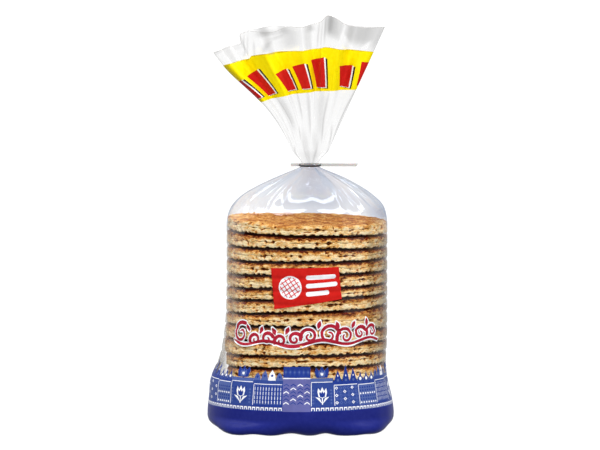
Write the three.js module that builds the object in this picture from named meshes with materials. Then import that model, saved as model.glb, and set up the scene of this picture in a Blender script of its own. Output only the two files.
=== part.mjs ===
// A clear film bag that holds an upright stack of round syrup waffles. The filled bag is one solid made of
// rings of points: a foot that bulges on the floor, a wall drawn over the waffle rims, a pleated dome, a
// gathered neck and a fan of folded film above it. A wire bent round the front of the neck holds it against a
// strip behind it.
// Units are millimetres. X runs across the front, -Y faces the viewer, +Z is up, and the origin is where the
// axis of the stack meets the floor.
import * as THREE from "three";

const { lerp, smoothstep, degToRad, radToDeg } = THREE.MathUtils;
const TAU = 2 * Math.PI;

// The stack that gives the bag its shape.
const WAFFLE_COUNT = 16;
const WAFFLE_PITCH = 7.85;
const STACK_FLOOR = 0.5; // film under the lowest waffle
const STACK_TOP = STACK_FLOOR + WAFFLE_COUNT * WAFFLE_PITCH;

// The wall of the bag.
const WALL_RADIUS = 48.3;
const RIM_GROOVE = 0.6; // how far the film draws in between two waffles
const RIM_LAND = 2.4; // half height of the wall that lies flat on a waffle's rim
const RIM_FADE = [26, 52]; // heights over which the rims begin to show through
const RIM_END = [STACK_TOP - 11, STACK_TOP - 6]; // heights over which the film leaves the top rims

// The foot, where the corners of the bag stand out to the left and right.
const FOOT_HEIGHT = 9; // height of the widest section
const FOOT_ROUND = 9.5; // how far the film rolls in under the foot
const FOOT_EDGE = 0.9; // lower edge, as a share of the rolled-in section
const FOOT_DISC = 0.55; // flat disc inside the lower edge, as a share of it
const FOOT_SQUARE = 4; // power of the rounded square that the lower edge comes close to
const FLARE_LEFT = { out: 11.4, spread: 34.5 };
const FLARE_RIGHT = { out: 3.8, spread: 17 };
const FLARE_FRONT = { out: 1.6, spread: 18 };
const WAIST_RIGHT = { in: 1, height: 38, spread: 12 };
// The small arches in the lower edge where the film stands off the floor: degrees round the bag, their
// width in degrees and their height.
const FOOT_ARCHES = [
  { at: -163, width: 14, height: 1.7 },
  { at: -125, width: 7, height: 1.1 },
  { at: -102, width: 9, height: 1.7 },
  { at: -76, width: 7, height: 1.6 },
  { at: -48, width: 6, height: 0.4 },
  { at: -14, width: 9, height: 0.9 },
  { at: 27, width: 8, height: 1.2 },
  { at: 61, width: 10, height: 1.6 },
  { at: 98, width: 8, height: 1.3 },
  { at: 131, width: 9, height: 1.5 },
  { at: 166, width: 8, height: 0.8 },
];

// The dome and the neck.
const DOME_START = STACK_TOP - 4.1; // the film leaves the wall just below the top waffle's upper edge
const DOME_END = 158;
const DOME_POWER = [2.5, 1.17]; // fullness low on the dome, and the slope into the neck
const NECK_TOP = 160.5;
const NECK_X = 1.8;
const NECK_SHIFT = [0.45, 0.85]; // shares of the dome's height over which its middle moves across to the neck
const NECK_HALF_WIDTH = 5.2;
const NECK_HALF_DEPTH = 4;
const NECK_FLARE = [0.45, 0.58]; // how much the bundle opens just above the tie, on its left and right
const NECK_FLARE_END = 0.1; // share of the fan's length at which it has opened

// The fan above the neck. Leans are from the vertical, towards +X, at its left and right edges.
const FAN_LEAN_NECK = [-24.6, 23.5];
const FAN_LEAN_MOUTH = [-37.5, 24.3];
const FAN_BEND = [0.1, 0.9]; // shares of the length between which the lean changes
const FAN_LENGTH = 83;
// High and low places of the mouth: where across it, their width to the left and to the right, and the rise.
const FAN_TIPS = [
  { across: 0.69, width: [0.03, 0.095], rise: 5 }, // the corner of the folded-over film
  { across: 0.66, width: [0.09, 0.1], rise: 0.4 },
  { across: 1.04, width: [0.13, 0.13], rise: 6.6 },
  { across: 0.56, width: [0.09, 0.06], rise: -1.4 },
  { across: 0.23, width: [0.12, 0.13], rise: 2.7 },
  { across: 0.17, width: [0.095, 0.01], rise: -5.2 }, // the step beside the low left corner
];
const TIP_POWER = 8; // how fast the tips fade below the mouth
const FAN_FOLDS = 4; // folds that run from the neck to the mouth
const FAN_FOLD_DEPTH = 7.5;
const FAN_FOLD_START = 0.2; // where across the fan the first fold turns over
const FAN_FOLD_SKEW = 0.6; // 0 is a sine, 1 a fold that turns over steeply
const MOUTH_HALF_GAP = 3.4;
const MOUTH_SPREAD = 1.6; // how much that gap varies along the mouth
const FAN_OPEN = 0.35; // share of the length over which the round bundle opens into a flat fan
const LAYERS_PART = 0.55; // share of the length over which its front and back come to the mouth's gap
const FRONT_DIP = { across: 0.36, width: 0.07, fall: 3.6 }; // where the front edge hangs below the back one

// The fine pleats that run out of the neck, up and down: turns round the bag, share and phase.
const PLEATS = [
  { turns: 9, share: 0.5, phase: 0.4 },
  { turns: 13, share: 0.35, phase: 2.1 },
  { turns: 16, share: 0.25, phase: 4.4 },
];
const PLEAT_DEPTH = 1.5;
const PLEAT_START = [0.05, 0.6]; // shares of the dome's height over which the pleats grow in
const NECK_PLEAT = 0.07; // pleat depth beside the neck, as a share of the section
const FAN_PLEAT = 0.45; // pleat depth at the foot of the fan

// The tie.
const WIRE_GAP = 0.3; // between the neck and the wire
const STRIP_GAP = 1.3; // between the neck and the strip, which clears the top of the dome
const STRIP_Z = [157.6, 159.5];
const STRIP_THICKNESS = 0.9;
const STRIP_EDGE = 0.3; // radius of its rounded edges
const STRIP_LEFT = -9.8;
const STRIP_RIGHT = 30.8;
const STRIP_BOW = 1.2; // how far its right end comes forward
const STRIP_CUT = { slant: 1.2, from: 3 }; // the slanting right end, and where the slant begins before it
const WIRE_RADIUS = 0.55;
const WIRE_Z = 158.5;

// How finely the bag is divided.
const SECTORS = 80;
const FOOT_RINGS = [1.6, 4.4, 9, 15, 22, 30];
const DOME_RINGS = 10;
const FAN_RINGS = [0.03, 0.08, 0.14, 0.21, 0.29, 0.38, 0.48, 0.58, 0.68, 0.78, 0.87, 0.94, 1];
const STRIP_STEPS = 16;
const WIRE_POINTS = 12;
const WIRE_STEPS = 36;

const bell = (value, centre, spread) => Math.exp(-(((value - centre) / spread) ** 2));

function pleat(theta) {
  return PLEATS.reduce((sum, p) => sum + p.share * Math.cos(p.turns * theta + p.phase), 0);
}

// How far the corners of the foot and the waist above it stand off the wall's plain radius.
function footFlare(theta, z) {
  const left = ((1 - Math.cos(theta)) / 2) ** 3;
  const right = ((1 + Math.cos(theta)) / 2) ** 3;
  const front = Math.sin(theta) ** 2;
  return (
    left * FLARE_LEFT.out * bell(z, FOOT_HEIGHT, FLARE_LEFT.spread) +
    right * FLARE_RIGHT.out * bell(z, FOOT_HEIGHT, FLARE_RIGHT.spread) +
    front * FLARE_FRONT.out * bell(z, FOOT_HEIGHT, FLARE_FRONT.spread) -
    right * WAIST_RIGHT.in * bell(z, WAIST_RIGHT.height, WAIST_RIGHT.spread)
  );
}

function rimGroove(z) {
  const fromMid = Math.abs((((z - STACK_FLOOR) / WAFFLE_PITCH) % 1) - 0.5) * WAFFLE_PITCH;
  const depth = smoothstep(fromMid, RIM_LAND, WAFFLE_PITCH / 2);
  return RIM_GROOVE * depth * smoothstep(z, ...RIM_FADE) * (1 - smoothstep(z, ...RIM_END));
}

function footRoll(z) {
  const below = Math.max(0, 1 - z / FOOT_HEIGHT);
  return FOOT_ROUND * (1 - Math.sqrt(1 - below ** 2));
}

// How much wider a rounded square is than a circle at an angle.
function squareness(theta) {
  const sum = Math.abs(Math.cos(theta)) ** FOOT_SQUARE + Math.abs(Math.sin(theta)) ** FOOT_SQUARE;
  return sum ** (-1 / FOOT_SQUARE);
}

function footArch(theta) {
  return FOOT_ARCHES.reduce((sum, a) => sum + a.height * bell(radToDeg(theta), a.at, a.width), 0);
}

// A point of the wall or dome. Theta is 0 at +X and negative across the front.
function wallPoint(theta, z) {
  const up = Math.min(1, Math.max(0, (z - DOME_START) / (DOME_END - DOME_START)));
  const full = (1 - up ** DOME_POWER[0]) ** DOME_POWER[1];
  const low = Math.max(0, 1 - z / FOOT_HEIGHT);
  const round = WALL_RADIUS + footFlare(theta, z) - rimGroove(z) - footRoll(z);
  const wall = round * lerp(1, squareness(theta), low);
  const rx = lerp(NECK_HALF_WIDTH, wall, full);
  const ry = lerp(NECK_HALF_DEPTH, wall, full);
  const fine = Math.min(PLEAT_DEPTH, NECK_PLEAT * rx) * smoothstep(up, ...PLEAT_START) * (up < 1 ? 1 : 0);
  const out = fine * pleat(theta);
  const lift = footArch(theta) * smoothstep(low, 0, 1);
  return new THREE.Vector3(
    NECK_X * smoothstep(up, ...NECK_SHIFT) + (rx + out) * Math.cos(theta),
    (ry + out) * Math.sin(theta),
    z + lift,
  );
}

// A fold's place in front of or behind the fan, from -1 to 1, with one steep side.
function foldWave(across) {
  const turn = TAU * FAN_FOLDS * (across - FAN_FOLD_START) + Math.PI;
  return Math.sin(turn + FAN_FOLD_SKEW * Math.sin(turn));
}

function tipRise(across) {
  return FAN_TIPS.reduce((sum, tip) => {
    const width = tip.width[across < tip.across ? 0 : 1];
    return sum + tip.rise * bell(across, tip.across, width);
  }, 0);
}

// A point of the fan: rise is 0 at the neck and 1 at the mouth.
function fanPoint(theta, rise) {
  const opened = smoothstep(rise, 0, FAN_OPEN);
  const across = lerp((1 + Math.cos(theta)) / 2, 1 - Math.abs(theta) / Math.PI, opened);
  const spread = smoothstep(rise, ...FAN_BEND);
  const lean = degToRad(lerp(lerp(...FAN_LEAN_NECK, across), lerp(...FAN_LEAN_MOUTH, across), spread));
  const dip = theta < 0 ? FRONT_DIP.fall * bell(across, FRONT_DIP.across, FRONT_DIP.width) : 0;
  const reach = FAN_LENGTH * rise + (tipRise(across) - dip) * rise ** TIP_POWER;
  const flare = lerp(...NECK_FLARE, across) * smoothstep(rise, 0, NECK_FLARE_END);
  const neck = NECK_HALF_WIDTH * (1 + flare) * (2 * across - 1);
  const roundEnd = Math.sqrt(1 - Math.min(1, Math.abs(2 * across - 1)) ** 6);
  const mouth = (MOUTH_HALF_GAP + MOUTH_SPREAD * Math.sin(7 * across + 1)) * roundEnd * Math.sign(theta);
  const half = lerp(NECK_HALF_DEPTH * Math.sin(theta), mouth, smoothstep(rise, 0, LAYERS_PART));
  const pleated = smoothstep(rise, 0, 0.08) * (1 - smoothstep(rise, 0.3, 0.9)) * roundEnd;
  const fine = FAN_PLEAT * pleat(theta) * pleated;
  return new THREE.Vector3(
    NECK_X + neck + reach * Math.sin(lean),
    FAN_FOLD_DEPTH * rise ** 1.3 * foldWave(across) * roundEnd ** 0.5 + half + fine,
    NECK_TOP + reach * Math.cos(lean),
  );
}

const sectorAngles = Array.from({ length: SECTORS }, (_, i) => -Math.PI + (TAU * i) / SECTORS);
const ringOf = (pointAt) => sectorAngles.map(pointAt);

// Heights of the rings on the rims: the foot, the middle and the top of each land, then the groove above it.
function rimHeights() {
  const heights = [];
  for (let i = Math.ceil(FOOT_RINGS.at(-1) / WAFFLE_PITCH); i * WAFFLE_PITCH < DOME_START; i++) {
    const groove = STACK_FLOOR + i * WAFFLE_PITCH;
    heights.push(groove, groove + WAFFLE_PITCH / 2 - RIM_LAND, groove + WAFFLE_PITCH / 2 + RIM_LAND);
  }
  return heights.filter((z) => z > FOOT_RINGS.at(-1) + 1 && z < DOME_START);
}

function bagRings() {
  const edge = ringOf((a) => wallPoint(a, 0).multiply(new THREE.Vector3(FOOT_EDGE, FOOT_EDGE, 1)));
  const disc = edge.map((p) => new THREE.Vector3(p.x * FOOT_DISC, p.y * FOOT_DISC, 0));
  const foot = FOOT_RINGS.map((z) => ringOf((a) => wallPoint(a, z)));
  const wall = rimHeights().map((z) => ringOf((a) => wallPoint(a, z)));
  const dome = Array.from({ length: DOME_RINGS + 1 }, (_, i) => {
    const z = DOME_START + (DOME_END - DOME_START) * Math.sin((Math.PI / 2) * (i / DOME_RINGS));
    return ringOf((a) => wallPoint(a, z));
  });
  const neck = ringOf((a) => fanPoint(a, 0));
  const fan = FAN_RINGS.map((rise) => ringOf((a) => fanPoint(a, rise)));
  return [disc, edge, ...foot, ...wall, ...dome, neck, ...fan];
}

// Rings joined into one closed body: a flat base, bands between the rings, and a mouth closed front to back.
function bagGeometry() {
  const rings = bagRings();
  const points = rings.flat();
  const centre = points.push(new THREE.Vector3(0, 0, 0)) - 1;
  const faces = [];
  const at = (ring, sector) => ring * SECTORS + ((sector + SECTORS) % SECTORS);
  for (let j = 0; j < SECTORS; j++) {
    faces.push([centre, at(0, j + 1), at(0, j)]);
    for (let i = 0; i + 1 < rings.length; i++) {
      faces.push([at(i, j), at(i, j + 1), at(i + 1, j + 1)], [at(i, j), at(i + 1, j + 1), at(i + 1, j)]);
    }
  }
  const top = rings.length - 1;
  for (let j = 0; j < SECTORS / 2; j++) {
    const [a, b] = [at(top, j), at(top, j + 1)];
    const [c, d] = [at(top, SECTORS - j), at(top, SECTORS - j - 1)];
    if (a !== c) faces.push([a, b, c]);
    if (b !== d) faces.push([c, b, d]);
  }
  return new THREE.BufferGeometry().setFromPoints(points).setIndex(faces.flat());
}

// The strip: a flat bar with rounded edges behind the neck. It bows forward a little on both sides.
function stripGeometry() {
  const height = STRIP_Z[1] - STRIP_Z[0];
  const corner = { up: height / 2 - STRIP_EDGE, out: STRIP_THICKNESS / 2 - STRIP_EDGE };
  const section = new THREE.Shape();
  [[1, 1], [-1, 1], [-1, -1], [1, -1]].forEach(([up, out], i) => {
    section.absarc(up * corner.up, out * corner.out, STRIP_EDGE, (TAU * i) / 4, (TAU * (i + 1)) / 4);
  });
  const depth = STRIP_RIGHT - STRIP_LEFT;
  const settings = { depth, steps: STRIP_STEPS, bevelEnabled: false, curveSegments: 1 };
  const bar = new THREE.ExtrudeGeometry(section, settings).rotateY(TAU / 4);
  const points = bar.getAttribute("position");
  for (let i = 0; i < points.count; i++) {
    const [x, y, z] = [STRIP_LEFT + points.getX(i), points.getY(i), points.getZ(i)];
    const bow = STRIP_BOW * ((x - NECK_X) / (STRIP_RIGHT - NECK_X)) ** 2;
    const low = 0.5 - z / height;
    const cut = STRIP_CUT.slant * low * smoothstep(x, STRIP_RIGHT - STRIP_CUT.from, STRIP_RIGHT);
    points.setXYZ(i, x - cut, y - bow, z);
  }
  return bar;
}

// The wire: a U round the front of the neck, with both ends at the strip.
function wireGeometry() {
  const reach = WIRE_GAP + WIRE_RADIUS;
  const [rx, ry] = [NECK_HALF_WIDTH + reach, NECK_HALF_DEPTH + reach];
  const bend = Array.from({ length: WIRE_POINTS + 1 }, (_, i) => {
    const turn = (Math.PI * i) / WIRE_POINTS;
    return new THREE.Vector3(rx * Math.cos(turn), -ry * Math.sin(turn), 0);
  });
  const ends = [rx, -rx].map((x) => new THREE.Vector3(x, NECK_HALF_DEPTH + STRIP_GAP - WIRE_GAP, 0));
  const path = new THREE.CatmullRomCurve3([ends[0], ...bend, ends[1]]);
  const section = new THREE.Shape().absarc(0, 0, WIRE_RADIUS, 0, TAU);
  return new THREE.ExtrudeGeometry(section, { extrudePath: path, steps: WIRE_STEPS, curveSegments: 4 });
}

function piece(name, geometry, material, place = [0, 0, 0]) {
  geometry.computeVertexNormals();
  const mesh = new THREE.Mesh(geometry, new THREE.MeshStandardMaterial(material));
  mesh.name = name;
  mesh.position.set(...place);
  return mesh;
}

const stripPlace = [0, NECK_HALF_DEPTH + STRIP_GAP + STRIP_THICKNESS / 2, lerp(...STRIP_Z, 0.5)];
const wirePlace = [NECK_X, 0, WIRE_Z];
const bag = new THREE.Group();
bag.add(
  piece("bag", bagGeometry(), { color: 0xd9b27c, roughness: 0.25, metalness: 0 }),
  piece("tie_strip", stripGeometry(), { color: 0xe4e4e2, roughness: 0.45, metalness: 0 }, stripPlace),
  piece("tie_wire", wireGeometry(), { color: 0x2c2c2e, roughness: 0.4, metalness: 0 }, wirePlace),
);

export default bag;
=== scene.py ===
# %% [markdown]
# # A tied bag of syrup waffles
# Syrup waffles are sold in a stack, in a clear bag of thin film that is gathered and tied above them. The
# solids give the bag's outer form and the tie. Here the bag becomes what it really is: a sheet of film, the
# ink printed on it, and sixteen waffles inside.

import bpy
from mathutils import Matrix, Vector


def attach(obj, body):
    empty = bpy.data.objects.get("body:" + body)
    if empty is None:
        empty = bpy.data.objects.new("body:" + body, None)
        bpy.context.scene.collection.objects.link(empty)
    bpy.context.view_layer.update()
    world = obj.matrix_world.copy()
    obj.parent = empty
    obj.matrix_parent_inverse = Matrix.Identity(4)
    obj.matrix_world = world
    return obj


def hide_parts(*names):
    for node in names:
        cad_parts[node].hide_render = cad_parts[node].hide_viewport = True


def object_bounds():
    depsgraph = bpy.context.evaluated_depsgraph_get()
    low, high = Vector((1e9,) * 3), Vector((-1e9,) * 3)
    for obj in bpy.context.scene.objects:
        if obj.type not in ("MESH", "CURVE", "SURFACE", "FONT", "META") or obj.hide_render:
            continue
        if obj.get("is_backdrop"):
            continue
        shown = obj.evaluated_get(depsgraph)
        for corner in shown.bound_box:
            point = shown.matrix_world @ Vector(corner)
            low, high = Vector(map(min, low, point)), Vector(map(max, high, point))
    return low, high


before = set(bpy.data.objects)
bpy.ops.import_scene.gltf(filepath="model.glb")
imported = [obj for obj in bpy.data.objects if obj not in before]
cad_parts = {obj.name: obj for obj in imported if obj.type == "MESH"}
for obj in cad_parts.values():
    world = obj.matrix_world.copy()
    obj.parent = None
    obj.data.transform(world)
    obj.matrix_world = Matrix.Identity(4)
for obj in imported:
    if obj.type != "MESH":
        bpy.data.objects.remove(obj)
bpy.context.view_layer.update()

# %% [markdown]
# Everything below is worked out in millimetres, the unit a maker measures food and film in, and turned to
# metres when a mesh is made. Colours are written as sRGB hex values, as a paint chart gives them, and one
# function turns them into the linear values that Blender's shaders need.

# %% Units, colours and curves
import math

import bpy
import numpy as np
from mathutils import Matrix, Vector
from mathutils.geometry import delaunay_2d_cdt

MM = 0.001


def linear(hex_colour):
    """An sRGB hex colour as linear red, green, blue and an alpha of 1."""
    channels = [int(hex_colour[i : i + 2], 16) / 255 for i in (1, 3, 5)]
    return (*[c / 12.92 if c <= 0.04045 else ((c + 0.055) / 1.055) ** 2.4 for c in channels], 1.0)


def smooth(value, low, high):
    """0 below low, 1 above high, and an even curve between."""
    t = np.clip((value - low) / (high - low), 0.0, 1.0)
    return t * t * (3.0 - 2.0 * t)


def bell(value, centre, spread):
    """1 at the centre, falling to nothing about two spreads away."""
    return np.exp(-(((value - centre) / spread) ** 2))


def mix(a, b, share):
    """All a at share 0 and all b at share 1."""
    return a + (b - a) * share


print("a mid grey of #808080 is", round(linear("#808080")[0], 3), "in linear light")

# %% [markdown]
# Baked dough and creased film are uneven, and modifiers with a noise texture could roughen a finished mesh.
# Here the points are uneven from the start, so that one point can say both where it lies and how brown it
# is. The noise is random values on a grid of cells, blended smoothly between them. Every call has its own
# seed, so the scene is the same each time it runs.


# %% Noise
def cell_value(cells, seed):
    """A repeatable random number from 0 to 1 for each whole-number cell."""
    total = np.zeros(cells[0].shape, np.uint64)
    for axis, prime in zip(cells, (73856093, 19349663, 83492791)):
        total ^= axis.astype(np.int64).astype(np.uint64) * np.uint64(prime)
    total ^= np.uint64(seed * 2654435761 % 2**32)
    total = (total ^ (total >> np.uint64(13))) * np.uint64(1274126177)
    total ^= total >> np.uint64(16)
    return (total & np.uint64(0xFFFFFF)).astype(float) / 0xFFFFFF


def noise(x, y, z, seed):
    """Smooth noise from -1 to 1, with one cell per unit."""
    x, y, z = np.broadcast_arrays(np.asarray(x, float), np.asarray(y, float), np.asarray(z, float))
    base = [np.floor(v) for v in (x, y, z)]
    part = [v - b for v, b in zip((x, y, z), base)]
    ease = [p * p * (3.0 - 2.0 * p) for p in part]
    total = np.zeros(x.shape)
    for corner in range(8):
        step = [(corner >> bit) & 1 for bit in range(3)]
        weight = np.ones(x.shape)
        for s, e in zip(step, ease):
            weight = weight * (e if s else 1.0 - e)
        total = total + weight * cell_value([b + s for b, s in zip(base, step)], seed)
    return total * 2.0 - 1.0


def rough_noise(x, y, z, seed, octaves=3):
    """Noise with finer and weaker noise laid over it."""
    total = 0.0
    for k in range(octaves):
        total = total + noise(x * 2**k, y * 2**k, z * 2**k, seed + k) * 0.5**k
    return total


print("noise along a line:", noise(np.arange(0.0, 2.0, 0.5), 0.3, 0.3, 1).round(2))

# %% [markdown]
# ## The film's form
# The bag is a family of closed rings, as the solid is: a foot that spreads on the floor, a wall pulled over
# the rims of the waffles, a dome, the gathered neck and the folded fan. A cloth simulation would crease by
# itself, but it wouldn't keep to the solid's size. So a formula gives a point for each angle round the bag
# and each height, and the film, the ink and the cut edge all follow that one surface.

# %% Driving sizes of the bag, in millimetres
WAFFLES = 16
PITCH = 7.85
STACK_FLOOR = 0.5
STACK_TOP = STACK_FLOOR + WAFFLES * PITCH
WALL_RADIUS = 48.3
FOOT_HEIGHT = 9.0
FOOT_ROUND = 9.5
FOOT_EDGE = 0.9  # share of the foot's radius where the film leaves the floor
FOOT_SQUARE = 4  # a power: 2 would give a round foot, and a higher one gives fuller corners
FOOT_ARCHES = [  # where, how wide and how high the film's lower edge stands off the floor, in degrees and mm
    (-163, 14, 1.7), (-125, 7, 1.1), (-102, 9, 1.7), (-76, 7, 1.6), (-48, 6, 0.4), (-14, 9, 0.9),
    (27, 8, 1.2), (61, 10, 1.6), (98, 8, 1.3), (131, 9, 1.5), (166, 8, 0.8),
]  # fmt: skip
WALL_SWELLS = [  # side, how far the wall stands out, and the middle and spread of that in height
    ("left", 11.4, FOOT_HEIGHT, 34.5), ("right", 3.8, FOOT_HEIGHT, 17.0),
    ("front and back", 1.6, FOOT_HEIGHT, 18.0), ("right", -1.0, 38.0, 12.0), ("left", 1.8, 31.0, 8.0),
]  # fmt: skip
GROOVE = 0.6  # how far the film is drawn in between two waffles
DOME_START = STACK_TOP - 4.1
DOME_END = 158.0
DOME_POWER = (2.5, 1.17)
NECK_TOP = 160.5
NECK_X = 1.8
NECK_HALF = (5.2, 4.0)
NECK_FLARE = (0.45, 0.58)
PLEATS = [(9, 0.5, 0.4), (13, 0.35, 2.1), (16, 0.25, 4.4)]  # how many go round, share of the depth, and phase
PLEAT_DEPTH = 1.5
print(f"stack of {WAFFLES} waffles from {STACK_FLOOR} to {STACK_TOP:.1f} mm")


# %% The wall
def foot_lift(theta):
    return sum(height * bell(np.degrees(theta), at, width) for at, width, height in FOOT_ARCHES)


def wall_radius(theta, z):
    sides = {
        "left": ((1.0 - np.cos(theta)) / 2.0) ** 3,
        "right": ((1.0 + np.cos(theta)) / 2.0) ** 3,
        "front and back": np.sin(theta) ** 2,
    }
    swell = sum(sides[side] * out * bell(z, middle, spread) for side, out, middle, spread in WALL_SWELLS)
    from_mid = np.abs(((z - STACK_FLOOR) / PITCH) % 1.0 - 0.5) * PITCH
    groove = GROOVE * smooth(from_mid, 2.4, PITCH / 2.0) * smooth(z, 26.0, 52.0)
    groove = groove * (1.0 - smooth(z, STACK_TOP - 11.0, STACK_TOP - 6.0))
    low = np.maximum(0.0, 1.0 - z / FOOT_HEIGHT)
    roll = FOOT_ROUND * (1.0 - np.sqrt(1.0 - low**2))
    power = FOOT_SQUARE
    square = (np.abs(np.cos(theta)) ** power + np.abs(np.sin(theta)) ** power) ** (-1.0 / power)
    return (WALL_RADIUS + swell - groove - roll) * mix(1.0, square, low)


left_and_right = wall_radius(np.array([np.pi, 0.0]), FOOT_HEIGHT)
print("foot reaches", left_and_right.round(1), "mm to the left and right of the stack's axis")


# %% The dome
def dome_share(z):
    """How far up the dome a height is, and how much of the wall's radius the dome still has there."""
    up = np.clip((z - DOME_START) / (DOME_END - DOME_START), 0.0, 1.0)
    return up, (1.0 - up ** DOME_POWER[0]) ** DOME_POWER[1]


def pleat(theta):
    return sum(share * np.cos(turns * theta + phase) for turns, share, phase in PLEATS)


def wall_point(theta, z):
    """Points of the wall or dome; theta is 0 at +X and negative across the front."""
    up, full = dome_share(z)
    wall = wall_radius(theta, z)
    rx, ry = mix(NECK_HALF[0], wall, full), mix(NECK_HALF[1], wall, full)
    gathered = smooth(up, 0.05, 0.6) * np.where(up < 1.0, 1.0, 0.0)
    out = np.minimum(PLEAT_DEPTH, 0.07 * rx) * gathered * pleat(theta) + wall_creases(theta, z, up)
    lift = foot_lift(theta) * smooth(np.maximum(0.0, 1.0 - z / FOOT_HEIGHT), 0.0, 1.0)
    x = NECK_X * smooth(up, 0.45, 0.85) + (rx + out) * np.cos(theta)
    return np.stack([x, (ry + out) * np.sin(theta), z + lift + 0.0 * theta], axis=-1)


half_way = float(dome_share((DOME_START + DOME_END) / 2)[1])
print(f"half way up, the dome has {half_way:.2f} of its width")

# %% [markdown]
# Thin film doesn't stretch, so where a flat tube is pulled round a stack and gathered into a neck the spare
# width has to go into creases. They could be sculpted by hand, and a list of angles, widths and depths is
# easier to change. On the dome they run out from the neck like spokes. On the wall they are faint upright
# lines, and over the foot the film buckles a little sideways.

# %% Creases of the wall and dome
rng = np.random.default_rng(11)
SPOKES = [  # angle in degrees, width in degrees, depth in mm and how far up the dome it starts
    (-141, 4.0, 0.9, 0.28), (-130, 3.0, -0.8, 0.42), (-119, 3.5, 0.8, 0.50), (-106, 3.0, -0.4, 0.66),
    (-90, 5.0, 0.35, 0.72), (-74, 3.0, -0.4, 0.66), (-61, 3.5, 0.7, 0.50), (-49, 3.0, -0.9, 0.34),
    (-40, 2.6, 0.9, 0.30), (-31, 3.0, -0.8, 0.36), (-17, 4.0, 0.6, 0.42), (-158, 4.0, -0.7, 0.36),
    (-112, 1.4, 1.3, 0.46), (-125, 1.6, -1.1, 0.40), (-136, 1.5, 1.0, 0.30), (-66, 1.5, 1.1, 0.52),
    (-54, 1.3, -1.2, 0.40), (-45, 1.5, 1.2, 0.30), (-24, 1.8, 1.0, 0.36), (-150, 1.8, 1.0, 0.36),
]  # fmt: skip


def chance_depth(low, high):
    """A crease as likely goes in as out."""
    return rng.uniform(low, high) * rng.choice((-1, 1))


BACK_SPOKES = [
    (angle + rng.uniform(-4, 4), rng.uniform(2.5, 4.5), chance_depth(0.4, 0.9), rng.uniform(0.3, 0.6))
    for angle in range(0, 180, 14)
]
UPRIGHTS = [(rng.uniform(-180, 180), rng.uniform(1.6, 3.2), rng.uniform(-0.28, 0.12)) for _ in range(38)]
print(len(SPOKES) + len(BACK_SPOKES), "spokes in the dome and", len(UPRIGHTS), "upright creases in the wall")


# %% How far the creases move the wall
def turned(degrees, at):
    """Degrees from an angle, the short way round."""
    return (degrees - at + 180.0) % 360.0 - 180.0


def wall_creases(theta, z, up):
    degrees, cos, sin = np.degrees(theta), np.cos(theta), np.sin(theta)
    out = 0.0
    for at, width, depth, start in SPOKES + BACK_SPOKES:
        side = np.abs(turned(degrees, at + 5.0 * (1.0 - up))) / width
        fade = smooth(up, start - 0.2, start + 0.25) * (1.0 - smooth(up, 0.82, 0.97))
        out = out + depth * np.exp(-side) * fade
    dents = noise(cos * 2.2, sin * 2.2, z / 19.0, 5)
    out = out + 0.9 * dents * smooth(up, 0.12, 0.4) * (1.0 - smooth(up, 0.7, 0.9))
    wall = smooth(z, 8.0, 30.0) * (1.0 - smooth(up, 0.0, 0.3))
    for at, width, depth in UPRIGHTS:
        wander = 3.0 * noise(z / 23.0, at, 0.0, 6)
        out = out + depth * bell(turned(degrees, at + wander), 0.0, width) * wall
    buckle = noise(cos * 4.5, sin * 4.5, z / 11.0, 8)
    return out + 0.4 * buckle * smooth(z, 0.5, 6.0) * (1.0 - smooth(z, 20.0, 44.0))


around_front = np.radians(np.arange(-160.0, -20.0))
depths = wall_creases(around_front, 140.0, dome_share(140.0)[0])
print(f"creases 14 mm above the stack go from {depths.min():.1f} to {depths.max():.1f} mm")

# %% [markdown]
# Above the tie the bundle opens into a fan. Its front and back layers lie close together and share four big
# folds. Small sharp creases run up from the tie and fade towards the mouth, where the film is free to
# relax. The mouth was cut straight. It looks wavy because the folded film hangs at its tips.

# %% Sizes of the fan
FAN_LENGTH = 83.0
FAN_TIPS = [  # high and low places of the mouth: where across it, width to the left and right, and rise in mm
    (0.69, 0.03, 0.095, 5.0), (0.66, 0.09, 0.10, 0.4), (1.04, 0.13, 0.13, 6.6), (0.56, 0.09, 0.06, -1.4),
    (0.23, 0.12, 0.13, 2.7), (0.17, 0.095, 0.01, -5.2),
]  # fmt: skip
FAN_LEAN = [(-24.6, 23.5), (-37.5, 24.3)]  # degrees its left and right side lean, at the tie and further up
FAN_CREASES = [
    (rng.uniform(0.02, 0.98), rng.uniform(0.006, 0.016), chance_depth(0.25, 0.8), rng.uniform(0.35, 1.1))
    for _ in range(44)
]
FRONT_CREASES = [  # where across, width, depth in mm and where along the fan it ends
    (0.655, 0.007, -1.3, 1.4), (0.60, 0.008, 0.8, 1.2), (0.17, 0.008, 1.1, 1.3), (0.40, 0.010, 0.9, 0.9),
]  # fmt: skip
print("fan of", FAN_LENGTH, "mm with", len(FAN_CREASES) + len(FRONT_CREASES), "creases")


# %% Points of the fan
def fan_creases(across, rise, front):
    out = 0.0
    for at, width, depth, end in FAN_CREASES:
        fade = smooth(rise, 0.02, 0.2) * (1.0 - smooth(rise, end - 0.3, end))
        out = out + depth * np.exp(-np.abs(across - at - 0.02 * (1.0 - rise)) / width) * fade
    for at, width, depth, end in FRONT_CREASES:
        fade = smooth(rise, 0.05, 0.3) * (1.0 - smooth(rise, end - 0.3, end))
        out = out + np.where(front, depth * np.exp(-np.abs(across - at) / width) * fade, 0.0)
    drape = noise(across * 7.0, rise * 3.0, np.where(front, 0.0, 9.0), 15)
    return out + 1.3 * drape * smooth(rise, 0.45, 1.0)


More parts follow.
